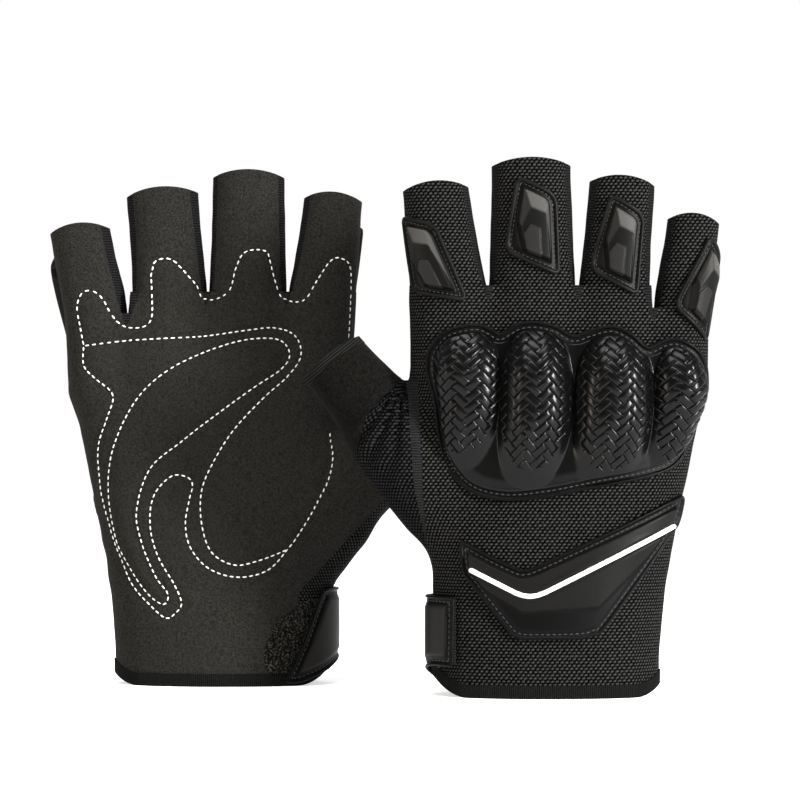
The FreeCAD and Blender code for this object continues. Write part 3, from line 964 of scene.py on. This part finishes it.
def capsule(rings=5, sides=8):
    """A small ellipsoid of half sizes 1: its points and faces."""
    points = [(-1.0, 0.0, 0.0)]
    for i in range(1, rings):
        turn = math.pi * i / rings
        for j in range(sides):
            spin = 2 * math.pi * j / sides
            ring = math.sin(turn) ** 0.7
            points.append((-math.cos(turn), ring * math.cos(spin), ring * math.sin(spin)))
    points.append((1.0, 0.0, 0.0))
    faces = [(0, 1 + (j + 1) % sides, 1 + j) for j in range(sides)]
    for i in range(rings - 2):
        for j in range(sides):
            a, b = 1 + i * sides + j, 1 + i * sides + (j + 1) % sides
            faces.append((a, b, b + sides, a + sides))
    last = len(points) - 1
    base = last - sides
    faces += [(last, base + j, base + (j + 1) % sides) for j in range(sides)]
    return np.array(points), faces


CAPSULE = capsule()
STITCH_SHARE = 0.66  # length of a stitch, as a share of the pitch
STITCH_RAISED = 0.05  # how far a stitch's middle stands over the surface


def stitches(points, normals, pitch, thick=0.26):
    """A row of stitches along a line laid on a surface."""
    shape, faces = CAPSULE
    gone = travelled(points)
    count = int(gone[-1] / pitch)
    if count < 1:
        return np.zeros((0, 3)), []
    at = (np.arange(count) + 0.5) * gone[-1] / count
    centres, ahead, behind = (along_line(at + reach, gone, points) for reach in (0.0, 0.5, -0.5))
    up = unit(along_line(at, gone, normals))
    along = ahead - behind
    along = unit(along - up * (along * up).sum(axis=1, keepdims=True))
    side = np.cross(up, along)
    half = pitch * STITCH_SHARE / 2
    every = (centres[:, None] + along[:, None] * shape[None, :, :1] * half
             + side[:, None] * shape[None, :, 1:2] * thick
             + up[:, None] * (shape[None, :, 2:] * thick * 0.7 + STITCH_RAISED))
    base = (np.arange(count) * len(shape)).tolist()
    return every.reshape(-1, 3), [tuple(i + b for i in face) for b in base for face in faces]


# ---------------------------------------------------------------- guards

def rounded(corners, radius):
    """A closed outline with straight sides and round corners."""
    corners = np.array(corners, float)
    points = []
    for before, corner, after in zip(np.roll(corners, 1, 0), corners, np.roll(corners, -1, 0)):
        first = corner + radius * (before - corner) / np.linalg.norm(before - corner)
        last = corner + radius * (after - corner) / np.linalg.norm(after - corner)
        for share in np.linspace(0, 1, 6):
            points.append((1 - share) ** 2 * first + 2 * share * (1 - share) * corner + share ** 2 * last)
    return np.array(points)


KNUCKLE = Outline([
    (-40.6, 111.9), (-38.2, 118.2), (-33.8, 122.3), (-25.2, 124.2), (-20.0, 122.6), (-17.2, 120.9),
    (-14.6, 122.4), (-10.6, 124.4), (-5.0, 124.9), (1.7, 123.4), (7.2, 120.4), (12.0, 121.8), (16.8, 123.2),
    (21.4, 123.4), (27.0, 120.6), (31.8, 116.6), (35.0, 117.8), (38.6, 119.2), (43.2, 118.8), (48.4, 114.8),
    (50.7, 107.8), (50.2, 96.2), (46.8, 84.0), (41.6, 76.6), (31.8, 72.8), (15.4, 69.6), (-2.4, 66.2),
    (-16.0, 65.2), (-27.4, 68.2), (-35.0, 76.2), (-38.2, 87.3), (-39.5, 99.6)])
# Domes: middle across, half width, middle up, half height, how far they stand out.
DOMES = ((-27.6, 11.0, 101.5, 21.5, 6.4), (-5.2, 12.2, 98.8, 24.4, 8.4),
         (20.6, 13.2, 97.6, 23.4, 8.4), (41.8, 8.8, 97.3, 20.0, 6.4))
SHELL_INSET = 3.1
CHEVRON = Outline([
    (-30.7, 52.2), (-29.4, 52.0), (-20.0, 47.0), (-12.0, 43.3), (-9.2, 42.8), (-4.0, 44.6), (20.0, 55.6),
    (42.4, 66.2), (45.1, 66.3), (45.2, 63.6), (43.6, 57.6), (40.0, 52.6), (18.4, 24.0), (14.0, 20.9),
    (9.2, 19.8), (-7.8, 19.5), (-12.4, 20.3), (-15.4, 23.0), (-27.2, 37.6), (-29.6, 41.2), (-30.5, 46.0)])
STRIP_PATH = resample(np.array([(-26.6, 42.3), (-11.9, 34.9), (-9.4, 34.1), (-7.2, 33.9), (-4.8, 34.3),
                                (-2.4, 35.2), (40.7, 56.6)]), 0.4)
FACET_EDGE = np.array([(-24.0, 38.0), (-22.9, 36.4), (-9.9, 28.9), (15.4, 30.6), (36.6, 51.5), (42.0, 57.0)])
FINGER_GUARD = Outline(rounded([(-5.2, 33.0), (8.1, 26.2), (9.0, -1.8), (-9.6, 6.9)], 4.2), 0.3)
GEM = (  # a point on the facet, the way it falls, how steeply, its height there, its painted light (paler on facets that face the lamps)
    ((-0.5, 22.1), (0.50, 0.87), 0.30, 3.5, 0.85),
    ((3.6, 19.8), (1.0, 0.08), 1.0, 3.5, 0.7),
    ((-0.6, 22.1), (-0.96, 0.28), 0.42, 3.5, 0.22),
    ((-3.0, 13.6), (-0.98, -0.19), 1.1, 3.1, 0.06),
    ((1.5, 20.0), (0.0, -1.0), 0.05, 3.5, 0.03),
)
GEM_PLATE = Outline(rounded([(-2.6, 12.9), (-0.7, 16.0), (1.8, 14.6), (2.3, 4.4), (-1.7, 6.2)], 0.5), 0.3)
STRAP = Outline([
    (-15.8, 11.0), (-16.0, 22.0), (-15.8, 32.4), (-14.8, 33.4), (0.0, 33.7), (9.2, 33.4), (12.0, 30.6),
    (15.0, 24.6), (19.2, 15.0), (23.6, 6.0), (25.2, 2.6), (24.4, 1.2), (21.0, 1.0), (16.0, 2.4), (10.0, 4.6),
    (4.0, 7.4), (-2.0, 9.4), (-8.0, 10.2), (-14.8, 10.2)])
LOOPS = Outline([
    (-8.0, 10.6), (-8.0, 30.0), (2.0, 31.0), (14.0, 30.0), (21.6, 26.6), (28.4, 21.0), (32.0, 13.4),
    (32.0, 7.0), (29.6, 4.8), (22.0, 4.4), (8.0, 6.6), (-2.0, 10.2)])
# Two places on the strap: the first at its sewn end, the second further along.
STRAP_BEND = ((-36.0, -13.5, 21.0), (-36.0, 4.0, 21.0))


class Stroke:
    """A band along a line, with round ends."""

    def __init__(self, line, half):
        self.low, self.high = line.min(axis=0) - 3.0, line.max(axis=0) + 3.0
        self.gap = Raster(self.low, self.high, 0.3, lambda x, z: nearest([line], x, z) - half)


def bead(depth, width):
    """A rounded rim: 1 along its middle, 0 at its edges. depth is measured in from the outline."""
    return np.sqrt(np.clip(1 - ((depth - width / 2) / (width / 2)) ** 2, 0, 1))


def flange_top(p, q, gap):
    return 1.2 + 0.8 * bead(-gap, 1.2)


def domes(p, q):
    """Height of the domes over the shell, and how near each place is to its dome's edge."""
    height, nearness, across = 0 * p, 2.0 + 0 * p, 0 * p
    for x, half_x, z, half_z, rise in DOMES:
        v = (q - z) / half_z
        foot = np.clip(-v, 0, 1)
        u = (p - x + 2.6 * foot ** 1.5) / (half_x * (1 - 0.12 * foot))
        near = (np.abs(u) ** 2.5 + np.abs(v) ** 2.5) ** 0.4
        here = rise * np.clip(1 - (near / (1 + 0.22 * foot)) ** 2.4, 0, 1) ** (0.8 + 0.7 * foot)
        across = np.where(near < nearness, u * half_x, across)
        height, nearness = np.maximum(height, here), np.minimum(nearness, near)
    return height, nearness, across


def braid(across, q):
    """Height over flat strands that cross on the slant, each over two and under two."""
    width = STRAND * math.sqrt(2)
    along, over = (across + q) / width, (across - q) / width
    place = (np.floor(along) + np.floor(over)) % 4
    second = place > 1.5
    aside = np.where(second, along, over) % 1
    length = (place - 2 * second + np.where(second, over, along) % 1) / 2
    edge = np.maximum(np.abs(2 * aside - 1) ** 5, np.abs(2 * length - 1) ** 12)
    return 1 - edge - 0.45 * (2 * length - 1) ** 2


def shell_top(p, q, gap):
    height, near, across = domes(p, q)
    relief = 0.4 * (braid(across, q) - 1.0) * step(0.95, 0.92, near)
    return 2.0 + 0.3 * step(0.0, 4.5, -gap) + height + relief


def shell_weave(points):
    """Place across the dome and up it for the braid, and 1 where the shell is braided: the mask for the
    painted shade in the braid's gaps.
    """
    _, near, across = domes(points[:, 0], points[:, 1])
    return np.stack([across, points[:, 1], step(0.96, 0.94, near) * (points[:, 2] > 1.8)], 1)


def shell_bottom(p, q, gap):
    return np.maximum(1.25, domes(p, q)[0] + 0.5)


def chevron_share(p, q):
    """How far up from the facet's lower edge, 0, to the reflective strip, 1."""
    strip = np.interp(p, STRIP_PATH[:, 0], STRIP_PATH[:, 1])
    edge = np.interp(p, FACET_EDGE[:, 0], FACET_EDGE[:, 1])
    return (q - edge) / np.maximum(strip - edge, 1.5)


CHEVRON_STRIP = Stroke(STRIP_PATH, 0.85)


def chevron_top(p, q, gap):
    share = chevron_share(p, q)
    face = 1.5 + 0.5 * step(-0.12, 0.0, share) + 0.9 * np.clip(share, 0, 1)
    face = np.where(share > 1, 2.9 - 0.35 * step(1.0, 1.5, share), face)
    groove = np.exp(-(np.clip(CHEVRON_STRIP.gap(p, q), 0, None) / 0.35) ** 2)
    face = face - 1.0 * groove * (p > STRIP_PATH[0, 0] - 2.5) * (p < STRIP_PATH[-1, 0] + 1.5)
    depth = -gap
    rim = 1.2 + 0.7 * bead(depth, 1.1)
    return rim + (face - rim) * step(2.4, 3.2, depth)


# Painted light on the chevron: its sloping facet and the band above the strip are painted a little paler than
# the rim, as a highlight.
def chevron_painted_light(p, q):
    share = chevron_share(p, q)
    inner = step(2.6, 3.2, -CHEVRON.gap(p, q))
    return inner * (0.06 * step(-0.02, 0.02, share) * step(1.05, 0.95, share) + 0.08 * step(1.0, 1.1, share))


def gem(p, q):
    """Height of each facet of a finger guard."""
    heights = []
    for (x, z), (right, up), steepness, top, _ in GEM:
        heights.append(top - steepness * ((p - x) * right + (q - z) * up))
    return np.stack(heights)


def guard_top(p, q, gap):
    depth = -gap
    body = np.minimum(1.0 + 1.5 * np.clip(depth - 2.9, 0, 3), gem(p, q).min(axis=0))
    body = body + 0.35 * step(0.15, -0.15, GEM_PLATE.gap(p, q))
    return np.where(depth > 2.9, np.maximum(body, 1.0), 1.0 + 0.9 * bead(depth, 1.5))


# Painted light on a finger guard: each facet painted paler or darker by how it faces the lamps, the small
# raised plate at one level, and the rim bead a touch paler.
def guard_painted_light(p, q):
    heights = gem(p, q)
    nearness = np.exp((heights.min(axis=0) - heights) / 0.05)
    painted_light = np.array([facet[4] for facet in GEM]) @ (nearness / nearness.sum(axis=0))
    painted_light = painted_light + (0.2 - painted_light) * step(0.12, -0.12, GEM_PLATE.gap(p, q))
    return painted_light * step(3.1, 3.5, -FINGER_GUARD.gap(p, q)) + 0.05 * step(1.7, 1.3, -FINGER_GUARD.gap(p, q))


GUARD_SOLID = plate(FINGER_GUARD, guard_top, level(-0.8), highest=3.9, pitch=0.32)


def strap_top(p, q, gap):
    depth = -gap
    panel = 2.5 + 0.4 * step(0.0, 1.2, depth - 3.0)
    return np.where(depth > 2.6, panel, 2.2 + 0.6 * bead(depth, 1.1))


# ---------------------------------------------------------------- one glove

def hem(x):
    """Height of the hem: flat across the middle and rising to the side seams."""
    return 8.5 * np.clip((np.abs(x) - 27.0) / 13.0, 0, 1.1) ** 2.2


def tip(name, x, z):
    centre, width, _ = finger_section(name, z)
    height, tilt = TIPS[name]
    return height + tilt * (x - centre) - 2.6 * ((x - centre) / width) ** 2


WEDGE_FEET = (130.5, 130.5, 123.5)  # the lowest points of the knitted wedges
WEDGE_SPREAD = 0.27  # how fast their half width grows upwards


def web_value(x, y, z):
    """Above zero in the narrow knitted wedges under the gaps between the fingers."""
    value = -1.0 + 0 * x
    for slit, foot in zip(SLITS, WEDGE_FEET):
        value = np.maximum(value, WEDGE_SPREAD * (z - foot) - np.abs(x - slit))
    return value


def hand_weave(points):
    x, y, z = points.T
    centre, width, depth, square = hand_section(z)
    side = (x - centre) / width
    turn = depth * (1 - 0.75 ** square) ** (1 / square)
    round_edge = 0.8 * np.clip(turn - np.abs(y), 0, None) * step(0.6, 0.8, np.abs(side))
    return np.stack([x + np.sign(side) * round_edge, z, 0 * x], 1)


def finger_weave(name, points):
    x, y, z = points.T
    centre, width, depth = finger_section(name, z)
    turn = np.arctan2(x - centre, np.maximum(np.abs(y), 0.01) * width / depth)
    flat = hand_weave(points)
    share = step(root_of(name), root_of(name) + 13, z)
    return np.stack([flat[:, 0] * (1 - share) + (centre + width * turn) * share, z, 0 * x], 1)


class Glove:
    """Builds one glove's pieces and ties those made without bends to its bodies."""

    def __init__(self, name):
        self.name = name
        self.spec = GLOVES[name]
        self.skin = Skin(self.spec)
        turn = math.radians(self.spec["thumb_deg"])
        seam_turn = math.radians(90 - self.spec["thumb_deg"] + 20)
        self.seam = (THUMB_ROOT[0] - math.cos(turn) * THUMB_FOLD, THUMB_ROOT[1] + math.sin(turn) * THUMB_FOLD)
        self.seam_normal = (-math.sin(seam_turn), math.cos(seam_turn))

    def world(self, point):
        side = self.spec["side"]
        x, y, z = point
        return ((x * side + self.spec["x"]) / 1000, (y * side + self.spec["y"]) / 1000, z / 1000)

    def thumb_value(self, x, y, z):
        """Above zero on the fabric that goes with the thumb, beyond the fold where it turns."""
        beyond = (x - self.seam[0]) * self.seam_normal[0] + (z - self.seam[1]) * self.seam_normal[1]
        return np.minimum(beyond - THUMB_BEND[0], HAND_EDGE - x)

    def add(self, name, mesh, material, nodes=(), body="hand", bends=False, weave=None):
        """One visible piece, tied to its body. With bends its transform is baked and it is tied to no body.
        """
        piece = build(name, self.name, mesh, MATERIALS[material], weave)
        if nodes:
            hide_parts(*[f"{self.name}_{node}" for node in nodes])
        if not bends:
            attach(piece, f"{self.name}_{body}")
            return piece
        start, end = self.bend(body)
        self.world(start)
        self.world(end)
        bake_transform(piece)
        return piece

    def bend(self, body):
        """Two places for cloth that goes with a body: where it starts, and a place further along."""
        if body == "strap":
            return STRAP_BEND
        if body == "thumb":
            ends = [[self.seam[k] + self.seam_normal[k] * gone for k in (0, 1)] for gone in THUMB_BEND]
            return [(x, 0.0, z) for x, z in ends]
        root = root_of(body)
        middle = float(finger_section(body, np.array([root]))[0][0])
        return (middle, 0.0, root), (middle, 0.0, root + FINGER_BEND)

    def cloth(self, name, parts, material, nodes=(), body="hand", bends=False, out=0.0, depth=CLOTH,
              weave=hand_weave):
        """A piece of fabric. parts are surfaces, each with the field that it came from."""
        pieces, coordinates = [], []
        for mesh, field in parts:
            if not mesh[1]:
                continue
            normals, _ = gradient(field, mesh[0])
            raised = (mesh[0] + normals * out, mesh[1])
            solid, source = thicken(raised, normals, depth)
            pieces.append(solid)
            coordinates.append(weave(mesh[0])[source])
        return self.add(name, joined(*pieces), material, nodes, body, bends, np.vstack(coordinates))

    def lay(self, mesh, where, flip=False):
        """A solid drawn over a flat place, bent on to the glove by where(p, q, h)."""
        points, faces = mesh
        bent, _ = where(*points.T)
        laid = (bent, faces)
        return flipped(laid) if flip else laid

    def sew(self, name, lines, where, material, body="hand", bends=False, pitch=2.0, height=1.2, **looks):
        rows = []
        for line in lines:
            points, normals = where(line[:, 0], line[:, 1], np.full(len(line), height))
            rows.append(stitches(points, normals, pitch, **looks))
        rows = [row for row in rows if row[1]]
        if rows:
            self.add(name, joined(*rows), material, (), body, bends)

    def make(self):
        lower = skin_mesh(self.skin.lower, (-98, -28, -14), (62, 28, 132))
        _, lower = split(lower, lambda x, y, z: z - hem(x))
        lower, _ = split(lower, lambda x, y, z: z - LITTLE_WEB)
        hand, thumb = split(lower, self.thumb_value)
        upper = skin_mesh(self.skin.upper, (-52, -18, 126), (38, 18, 140))
        _, upper = split(upper, lambda x, y, z: z - LITTLE_WEB)
        upper, _ = split(upper, lambda x, y, z: z - WEB)
        self.panels(hand, upper)
        self.thumb(thumb)
        for finger in FINGERS:
            self.finger(finger)
        self.palm_sewing()
        self.knuckles()
        self.chevron()
        self.closure()

    def panels(self, hand, upper):
        """The fabric of the hand, with its hem, gussets, webs, lining and pads."""
        lower_field, upper_field = self.skin.lower, self.skin.upper
        band, hand = split(hand, lambda x, y, z: z - hem(x) - HEM_BAND)
        self.cloth("cuff_binding", [(band, lower_field)], "binding", ["cuff_binding"],
                   out=0.45, depth=CLOTH + 0.5)
        hand, low_webs = split(hand, web_value)
        upper, high_webs = split(upper, web_value)
        saddles = [self.saddle(slit, root) for slit, root in zip(SLITS, (WEB, WEB, LITTLE_WEB))]
        self.cloth("finger_webs", [(low_webs, lower_field), (high_webs, upper_field)], "knit",
                   ["finger_webs"])
        self.add("web_saddles", joined(*saddles), "knit")
        back, palm = split(hand, lambda x, y, z: y)
        upper_back, upper_palm = split(upper, lambda x, y, z: y)
        back, fold = split(back, self.fold_value)
        back, rib = split(back, self.rib_value)
        # The thumb fold uses the darker copy of the mesh: painted shade.
        self.cloth("thumb_fold", [(fold, lower_field)], "mesh_thumb_painted_shade", ["thumb_gusset"])
        self.cloth("thumb_rib", [(rib, lower_field)], "gusset", out=-0.15)
        self.cloth("back_panel", [(back, lower_field), (upper_back, upper_field)],
                   "mesh_fabric", ["back_panel"])
        palm, side = split(palm, self.side_value)
        self.cloth("palm_gusset", [(side, lower_field)], "mesh_fabric", out=-0.1)
        self.cloth("palm_panel", [(palm, lower_field), (upper_palm, upper_field)], "microfibre",
                   ["palm_panel"])
        self.cloth("palm_lining", [(palm, lower_field)], "lining", ["palm_lining"],
                   out=-3.4, depth=0.5)
        self.pads(palm)

    def saddle(self, slit, root):
        """The knitted strip across the foot of a gap between two fingers."""
        def bar(x, y, z):
            return np.maximum(np.hypot((x - slit) / 1.3, (z - root + 2.2) / 2.0) - 1, (np.abs(y) - 8.5) / 2)

        points, quads = surface_net(bar, (slit - 2.4, -9.6, root - 5), (slit + 2.4, 9.6, root + 0.6), 0.6)
        return points, [tuple(q) for q in quads.tolist()]

    def fold_value(self, x, y, z):
        """Above zero on the fabric that runs from the back of the hand to the thumb."""
        line = np.interp(z, [44.0, 48.0, 70.0, 106.0], [-40.0, -41.2, -45.6, -48.0])
        return np.where(z > 44, line - x, -1.0)

    def rib_value(self, x, y, z):
        line = np.interp(z, [47.5, 56.0, 66.0, 106.0], [-41.5, -41.6, -42.4, -44.3])
        return np.where((z > 47.5) & (z < 106), line - x, -1.0)

    def side_value(self, x, y, z):
        """Above zero on the palm's mesh side panel, under the thumb."""
        return np.minimum((-20.5 * (x + 56.8) - 18.9 * (z - 63.5)) / 27.9, -28.0 - x)

    def pads(self, palm):
        """Foam under the palm, one for each closed loop of stitches."""
        crescent = PALM_LINES[-1]
        heel = curve_through([(-24.0, 100.0), (-14.0, 95.0), (0.0, 83.0), (4.0, 66.0), (2.0, 50.0),
                              (-7.0, 44.5), (-18.0, 46.0), (-27.0, 55.0), (-33.0, 68.0), (-32.0, 84.0)], True)
        for name, line in (("palm_pad_outer", crescent), ("palm_pad_thumb", heel)):
            _, pad = split(palm, lambda x, y, z: np.where(y > 3, -signed(line[::3], x, z) - 1.0, -1.0))
            normals, _ = gradient(self.skin.lower, pad[0])
            solid, source = thicken((pad[0] - normals * PAD_UNDER, pad[1]), normals, PAD_DEPTH)
            nodes = ["palm_pads"] if name == "palm_pad_outer" else []
            piece = self.add(name, solid, "foam", nodes, weave=hand_weave(pad[0])[source])

    def thumb(self, mesh):
        degrees = self.spec["thumb_deg"]

        def along(x, z):
            return thumb_frame(degrees, x, z)[0]

        def end(x, z):
            return THUMB_TIP + 0.8 - 1.8 * ((thumb_frame(degrees, x, z)[1] + 1.6) / 12) ** 2

        def past_gusset(x, y, z):
            across = thumb_frame(degrees, x, z)[1]
            edge = np.interp(across, [-18.0, -16.4, -4.5, 11.4, 14.0], [22.8, 23.6, 32.5, 34.4, 34.6])
            return along(x, z) - np.where(y < 0, edge, 20.0)

        def weave(points):
            gone, across = thumb_frame(degrees, points[:, 0], points[:, 2])
            return np.stack([across + np.sign(across) * 0.6 * (11 - np.abs(points[:, 1])), gone, 0 * gone], 1)

        field = self.skin.lower
        mesh, _ = split(mesh, lambda x, y, z: along(x, z) - end(x, z))
        gusset, stall = split(mesh, past_gusset)
        stall, band = split(stall, lambda x, y, z: along(x, z) - end(x, z) + 2.8)
        looks = {"body": "thumb", "bends": True, "weave": weave}
        # The thumb's gusset uses the darker copy of the mesh: painted shade.
        self.cloth("thumb_gusset", [(gusset, field)], "mesh_thumb_painted_shade", out=-0.1, **looks)
        # The thumb stall uses the darker copy of the microfibre: painted shade.
        self.cloth("thumb_stall", [(stall, field)], "microfibre_thumb_painted_shade", ["thumb_stall"], out=0.15,
                   **looks)
        self.cloth("thumb_hem", [(band, field)], "knit", out=0.3, **looks)

    def finger(self, name):
        root = root_of(name)
        low_x, high_x = FINGERS[name][:, 1].min() - 3, FINGERS[name][:, 2].max() + 3
        field = self.skin.finger(name)
        mesh = skin_mesh(field, (low_x, -17, root - 3), (high_x, 17, TIPS[name][0] + 5), 0.8)
        _, mesh = split(mesh, lambda x, y, z: z - root)
        mesh, _ = split(mesh, lambda x, y, z: z - tip(name, x, z))

        def strip(x, y, z):
            centre, width, _ = finger_section(name, z)
            return strip_half(name, x, centre, width) - np.abs(y)

        cover, knitted = split(mesh, strip)
        back, front = split(cover, lambda x, y, z: y)
        looks = {"body": name, "bends": True, "weave": lambda points: finger_weave(name, points)}
        self.cloth(f"{name}_back", [(back, field)], "mesh_fabric", [f"{name}_back"], **looks)
        self.cloth(f"{name}_front", [(front, field)], "microfibre", [f"{name}_front"], **looks)
        self.cloth(f"{name}_sides", [(knitted, field)], "knit", out=-0.2, **looks)
        self.finger_guard(name)

    def finger_guard(self, name):
        # The guard's third cloth coordinate carries its painted light.
        weave = flat_weave(GUARD_SOLID, guard_painted_light(*GUARD_SOLID[0][:, :2].T))
        place = partial(on_finger, name)
        self.add(f"{name}_guard", self.lay(GUARD_SOLID, place), "rubber", [f"{name}_guard"], name,
                 True, weave)
        self.sew(f"{name}_guard_thread", [FINGER_GUARD.inset(1.85)], place, "thread_grey", name, True,
                 pitch=1.5, height=1.0, thick=0.17)

    def palm_sewing(self):
        """White stitches. Those above the foot of a finger are made as a piece of their own for that finger.
        """
        place = partial(on_hand, self.skin.lower, 1)
        bounds = [("index", -99.0, SLITS[0], WEB), ("middle", SLITS[0], SLITS[1], WEB),
                  ("ring", SLITS[1], SLITS[2], WEB), ("little", SLITS[2], 99.0, LITTLE_WEB)]
        runs = {"hand": []}
        for line in PALM_LINES:
            zone = np.zeros(len(line), int)
            for number, (_, low, high, root) in enumerate(bounds, 1):
                zone[(line[:, 0] > low) & (line[:, 0] <= high) & (line[:, 1] > root)] = number
            breaks = np.flatnonzero(np.diff(zone)) + 1
            for part, kind in zip(np.split(line, breaks), np.split(zone, breaks)):
                body = "hand" if kind[0] == 0 else bounds[kind[0] - 1][0]
                runs.setdefault(body, []).append(part)
        for body, lines in runs.items():
            self.sew(f"{body}_palm_thread", lines, place, "thread_white", body, body != "hand",
                     pitch=2.25, height=0.0)

    def knuckles(self):
        place = partial(on_hand, self.skin.firm, -1)
        flange = plate(KNUCKLE, flange_top, level(-1.4), highest=2.4)
        self.add("knuckle_flange", self.lay(flange, place), "rubber", ["knuckle_flange"],
                 weave=flat_weave(flange))
        shell_outline = Inset(KNUCKLE, SHELL_INSET)
        shell = plate(shell_outline, shell_top, shell_bottom, highest=12.0, pitch=0.36)
        self.add("knuckle_shell", self.lay(shell, place), "hard_shell", ["knuckle_shell"],
                 weave=shell_weave(shell[0]))
        foam = plate(shell_outline, lambda p, q, gap: domes(p, q)[0] + 0.4, level(1.3),
                     highest=9.0, pitch=0.8)
        piece = self.add("knuckle_foam", self.lay(foam, place), "foam", ["knuckle_foam"])
        self.sew("knuckle_thread", [KNUCKLE.inset(2.2)], place, "thread_grey", pitch=1.9, thick=0.2)

    def chevron(self):
        place = partial(on_hand, self.skin.firm, -1)
        guard = plate(CHEVRON, chevron_top, level(-1.4), highest=3.6, pitch=0.45)
        # The chevron's third cloth coordinate carries its painted light.
        weave = flat_weave(guard, chevron_painted_light(*guard[0][:, :2].T))
        self.add("chevron_guard", self.lay(guard, place), "rubber", ["chevron_guard"], weave=weave)
        strip = plate(CHEVRON_STRIP, lambda p, q, gap: 2.75 - 0.3 * np.clip(gap + 1, 0, 1) ** 2, level(1.5),
                      highest=3.2, pitch=0.3)
        self.add("reflective_strip", self.lay(strip, place), "reflective", ["reflective_strip"])
        self.sew("chevron_thread", [CHEVRON.inset(1.8)], place, "thread_grey", pitch=1.9, thick=0.18)

    def closure(self):
        """Loop patch on the palm, and the strap with its hooks and its moulded cover."""
        loops = plate(LOOPS, level(0.8), level(-1.2), highest=1.6, pitch=0.6)
        self.add("loop_patch", self.lay(loops, on_wrist, True), "loop_pile", ["loop_patch"],
                 weave=flat_weave(loops))
        # Inset, top, bottom, how far the sewn end reaches down to the glove, and material.
        layers = (
            ("hook_patch", 2.6, 1.25, 0.9, 0.0, "hook_tape"),
            ("strap", 0.6, 1.75, 1.3, 1.8, "knit"),
        )
        for name, depth, high, low, foot, material in layers:
            solid = plate(Inset(STRAP, depth), level(high),
                          lambda p, q, gap: low - foot * step(-9.5, -13.0, p), highest=3.4, pitch=0.6)
            self.add(name, self.lay(solid, on_wrist, True), material, [name], "strap", True,
                     flat_weave(solid))
        cover = plate(STRAP, strap_top, level(1.8), highest=3.8, pitch=0.45)
        # Painted highlight: the strap cover's raised panel is painted a little paler than its rim.
        weave = flat_weave(cover, 0.2 * step(3.0, 3.8, -STRAP.gap(*cover[0][:, :2].T)))
        self.add("strap_cover", self.lay(cover, on_wrist, True), "rubber", ["strap_cover"], "strap",
                 True, weave)
        self.sew("strap_thread", [STRAP.inset(1.9)], on_wrist, "thread_grey", "strap", True,
                 pitch=1.8, height=2.2, thick=0.2)


for glove_name in GLOVES:
    Glove(glove_name).make()


# ---------------------------------------------------------------- floor, light and camera

bpy.ops.mesh.primitive_plane_add(size=24.0, location=(0.0, 0.0, 0.0))
floor = bpy.context.object
floor.name = "floor"
floor_shader = Shader("floor", (0.9, 0.9, 0.9), 0.9)
floor_shader.surface.inputs["Emission Color"].default_value = (1.0, 1.0, 1.0, 1.0)
floor_shader.surface.inputs["Emission Strength"].default_value = 0.58
floor.data.materials.append(floor_shader.material)


def studio():
    """Surroundings: a white wall behind the gloves and a darker room in front of them."""
    world = bpy.data.worlds.new("world")
    world.use_nodes = True
    tree = world.node_tree
    direction = tree.nodes.new("ShaderNodeTexCoord")
    parts = tree.nodes.new("ShaderNodeSeparateXYZ")
    fade = tree.nodes.new("ShaderNodeMapRange")
    fade.inputs["From Min"].default_value = -0.1
    fade.inputs["From Max"].default_value = 0.5
    fade.inputs["To Min"].default_value = 0.13
    fade.inputs["To Max"].default_value = 1.0
    tree.links.new(direction.outputs["Generated"], parts.inputs[0])
    tree.links.new(parts.outputs["Y"], fade.inputs["Value"])
    tree.links.new(fade.outputs[0], tree.nodes["Background"].inputs["Strength"])
    tree.nodes["Background"].inputs["Color"].default_value = (1.0, 1.0, 1.0, 1.0)
    return world


bpy.context.scene.world = studio()


def area_light(name, place, aim, size, power, colour=(1.0, 1.0, 1.0)):
    data = bpy.data.lights.new(name, "AREA")
    data.shape = "RECTANGLE"
    data.size, data.size_y = size
    data.energy = power
    data.color = colour
    lamp = bpy.data.objects.new(name, data)
    bpy.context.scene.collection.objects.link(lamp)
    lamp.location = place
    way = np.array(aim) - np.array(place)
    lamp.rotation_euler = mathutils.Vector(way).to_track_quat("-Z", "Y").to_euler()


area_light("key", (1.05, -0.85, 0.42), (0.05, 0.0, 0.1), (0.18, 0.5), 46.0)
area_light("fill", (-1.15, -0.7, 0.25), (0.0, 0.0, 0.1), (0.12, 0.6), 7.0, (1.0, 0.88, 0.78))
area_light("top", (0.0, -0.45, 1.3), (0.0, 0.0, 0.12), (1.2, 0.6), 20.0)

camera_data = bpy.data.cameras.new("camera")
camera = bpy.data.objects.new("camera", camera_data)
bpy.context.scene.collection.objects.link(camera)
camera.location = (0.0065, -1.304, 0.0894)
camera.rotation_euler = (math.radians(90), 0.0, 0.0)
camera_data.lens = 171.0
camera_data.shift_y = 0.035
bpy.context.scene.camera = camera
bpy.context.scene.view_settings.view_transform = "Standard"
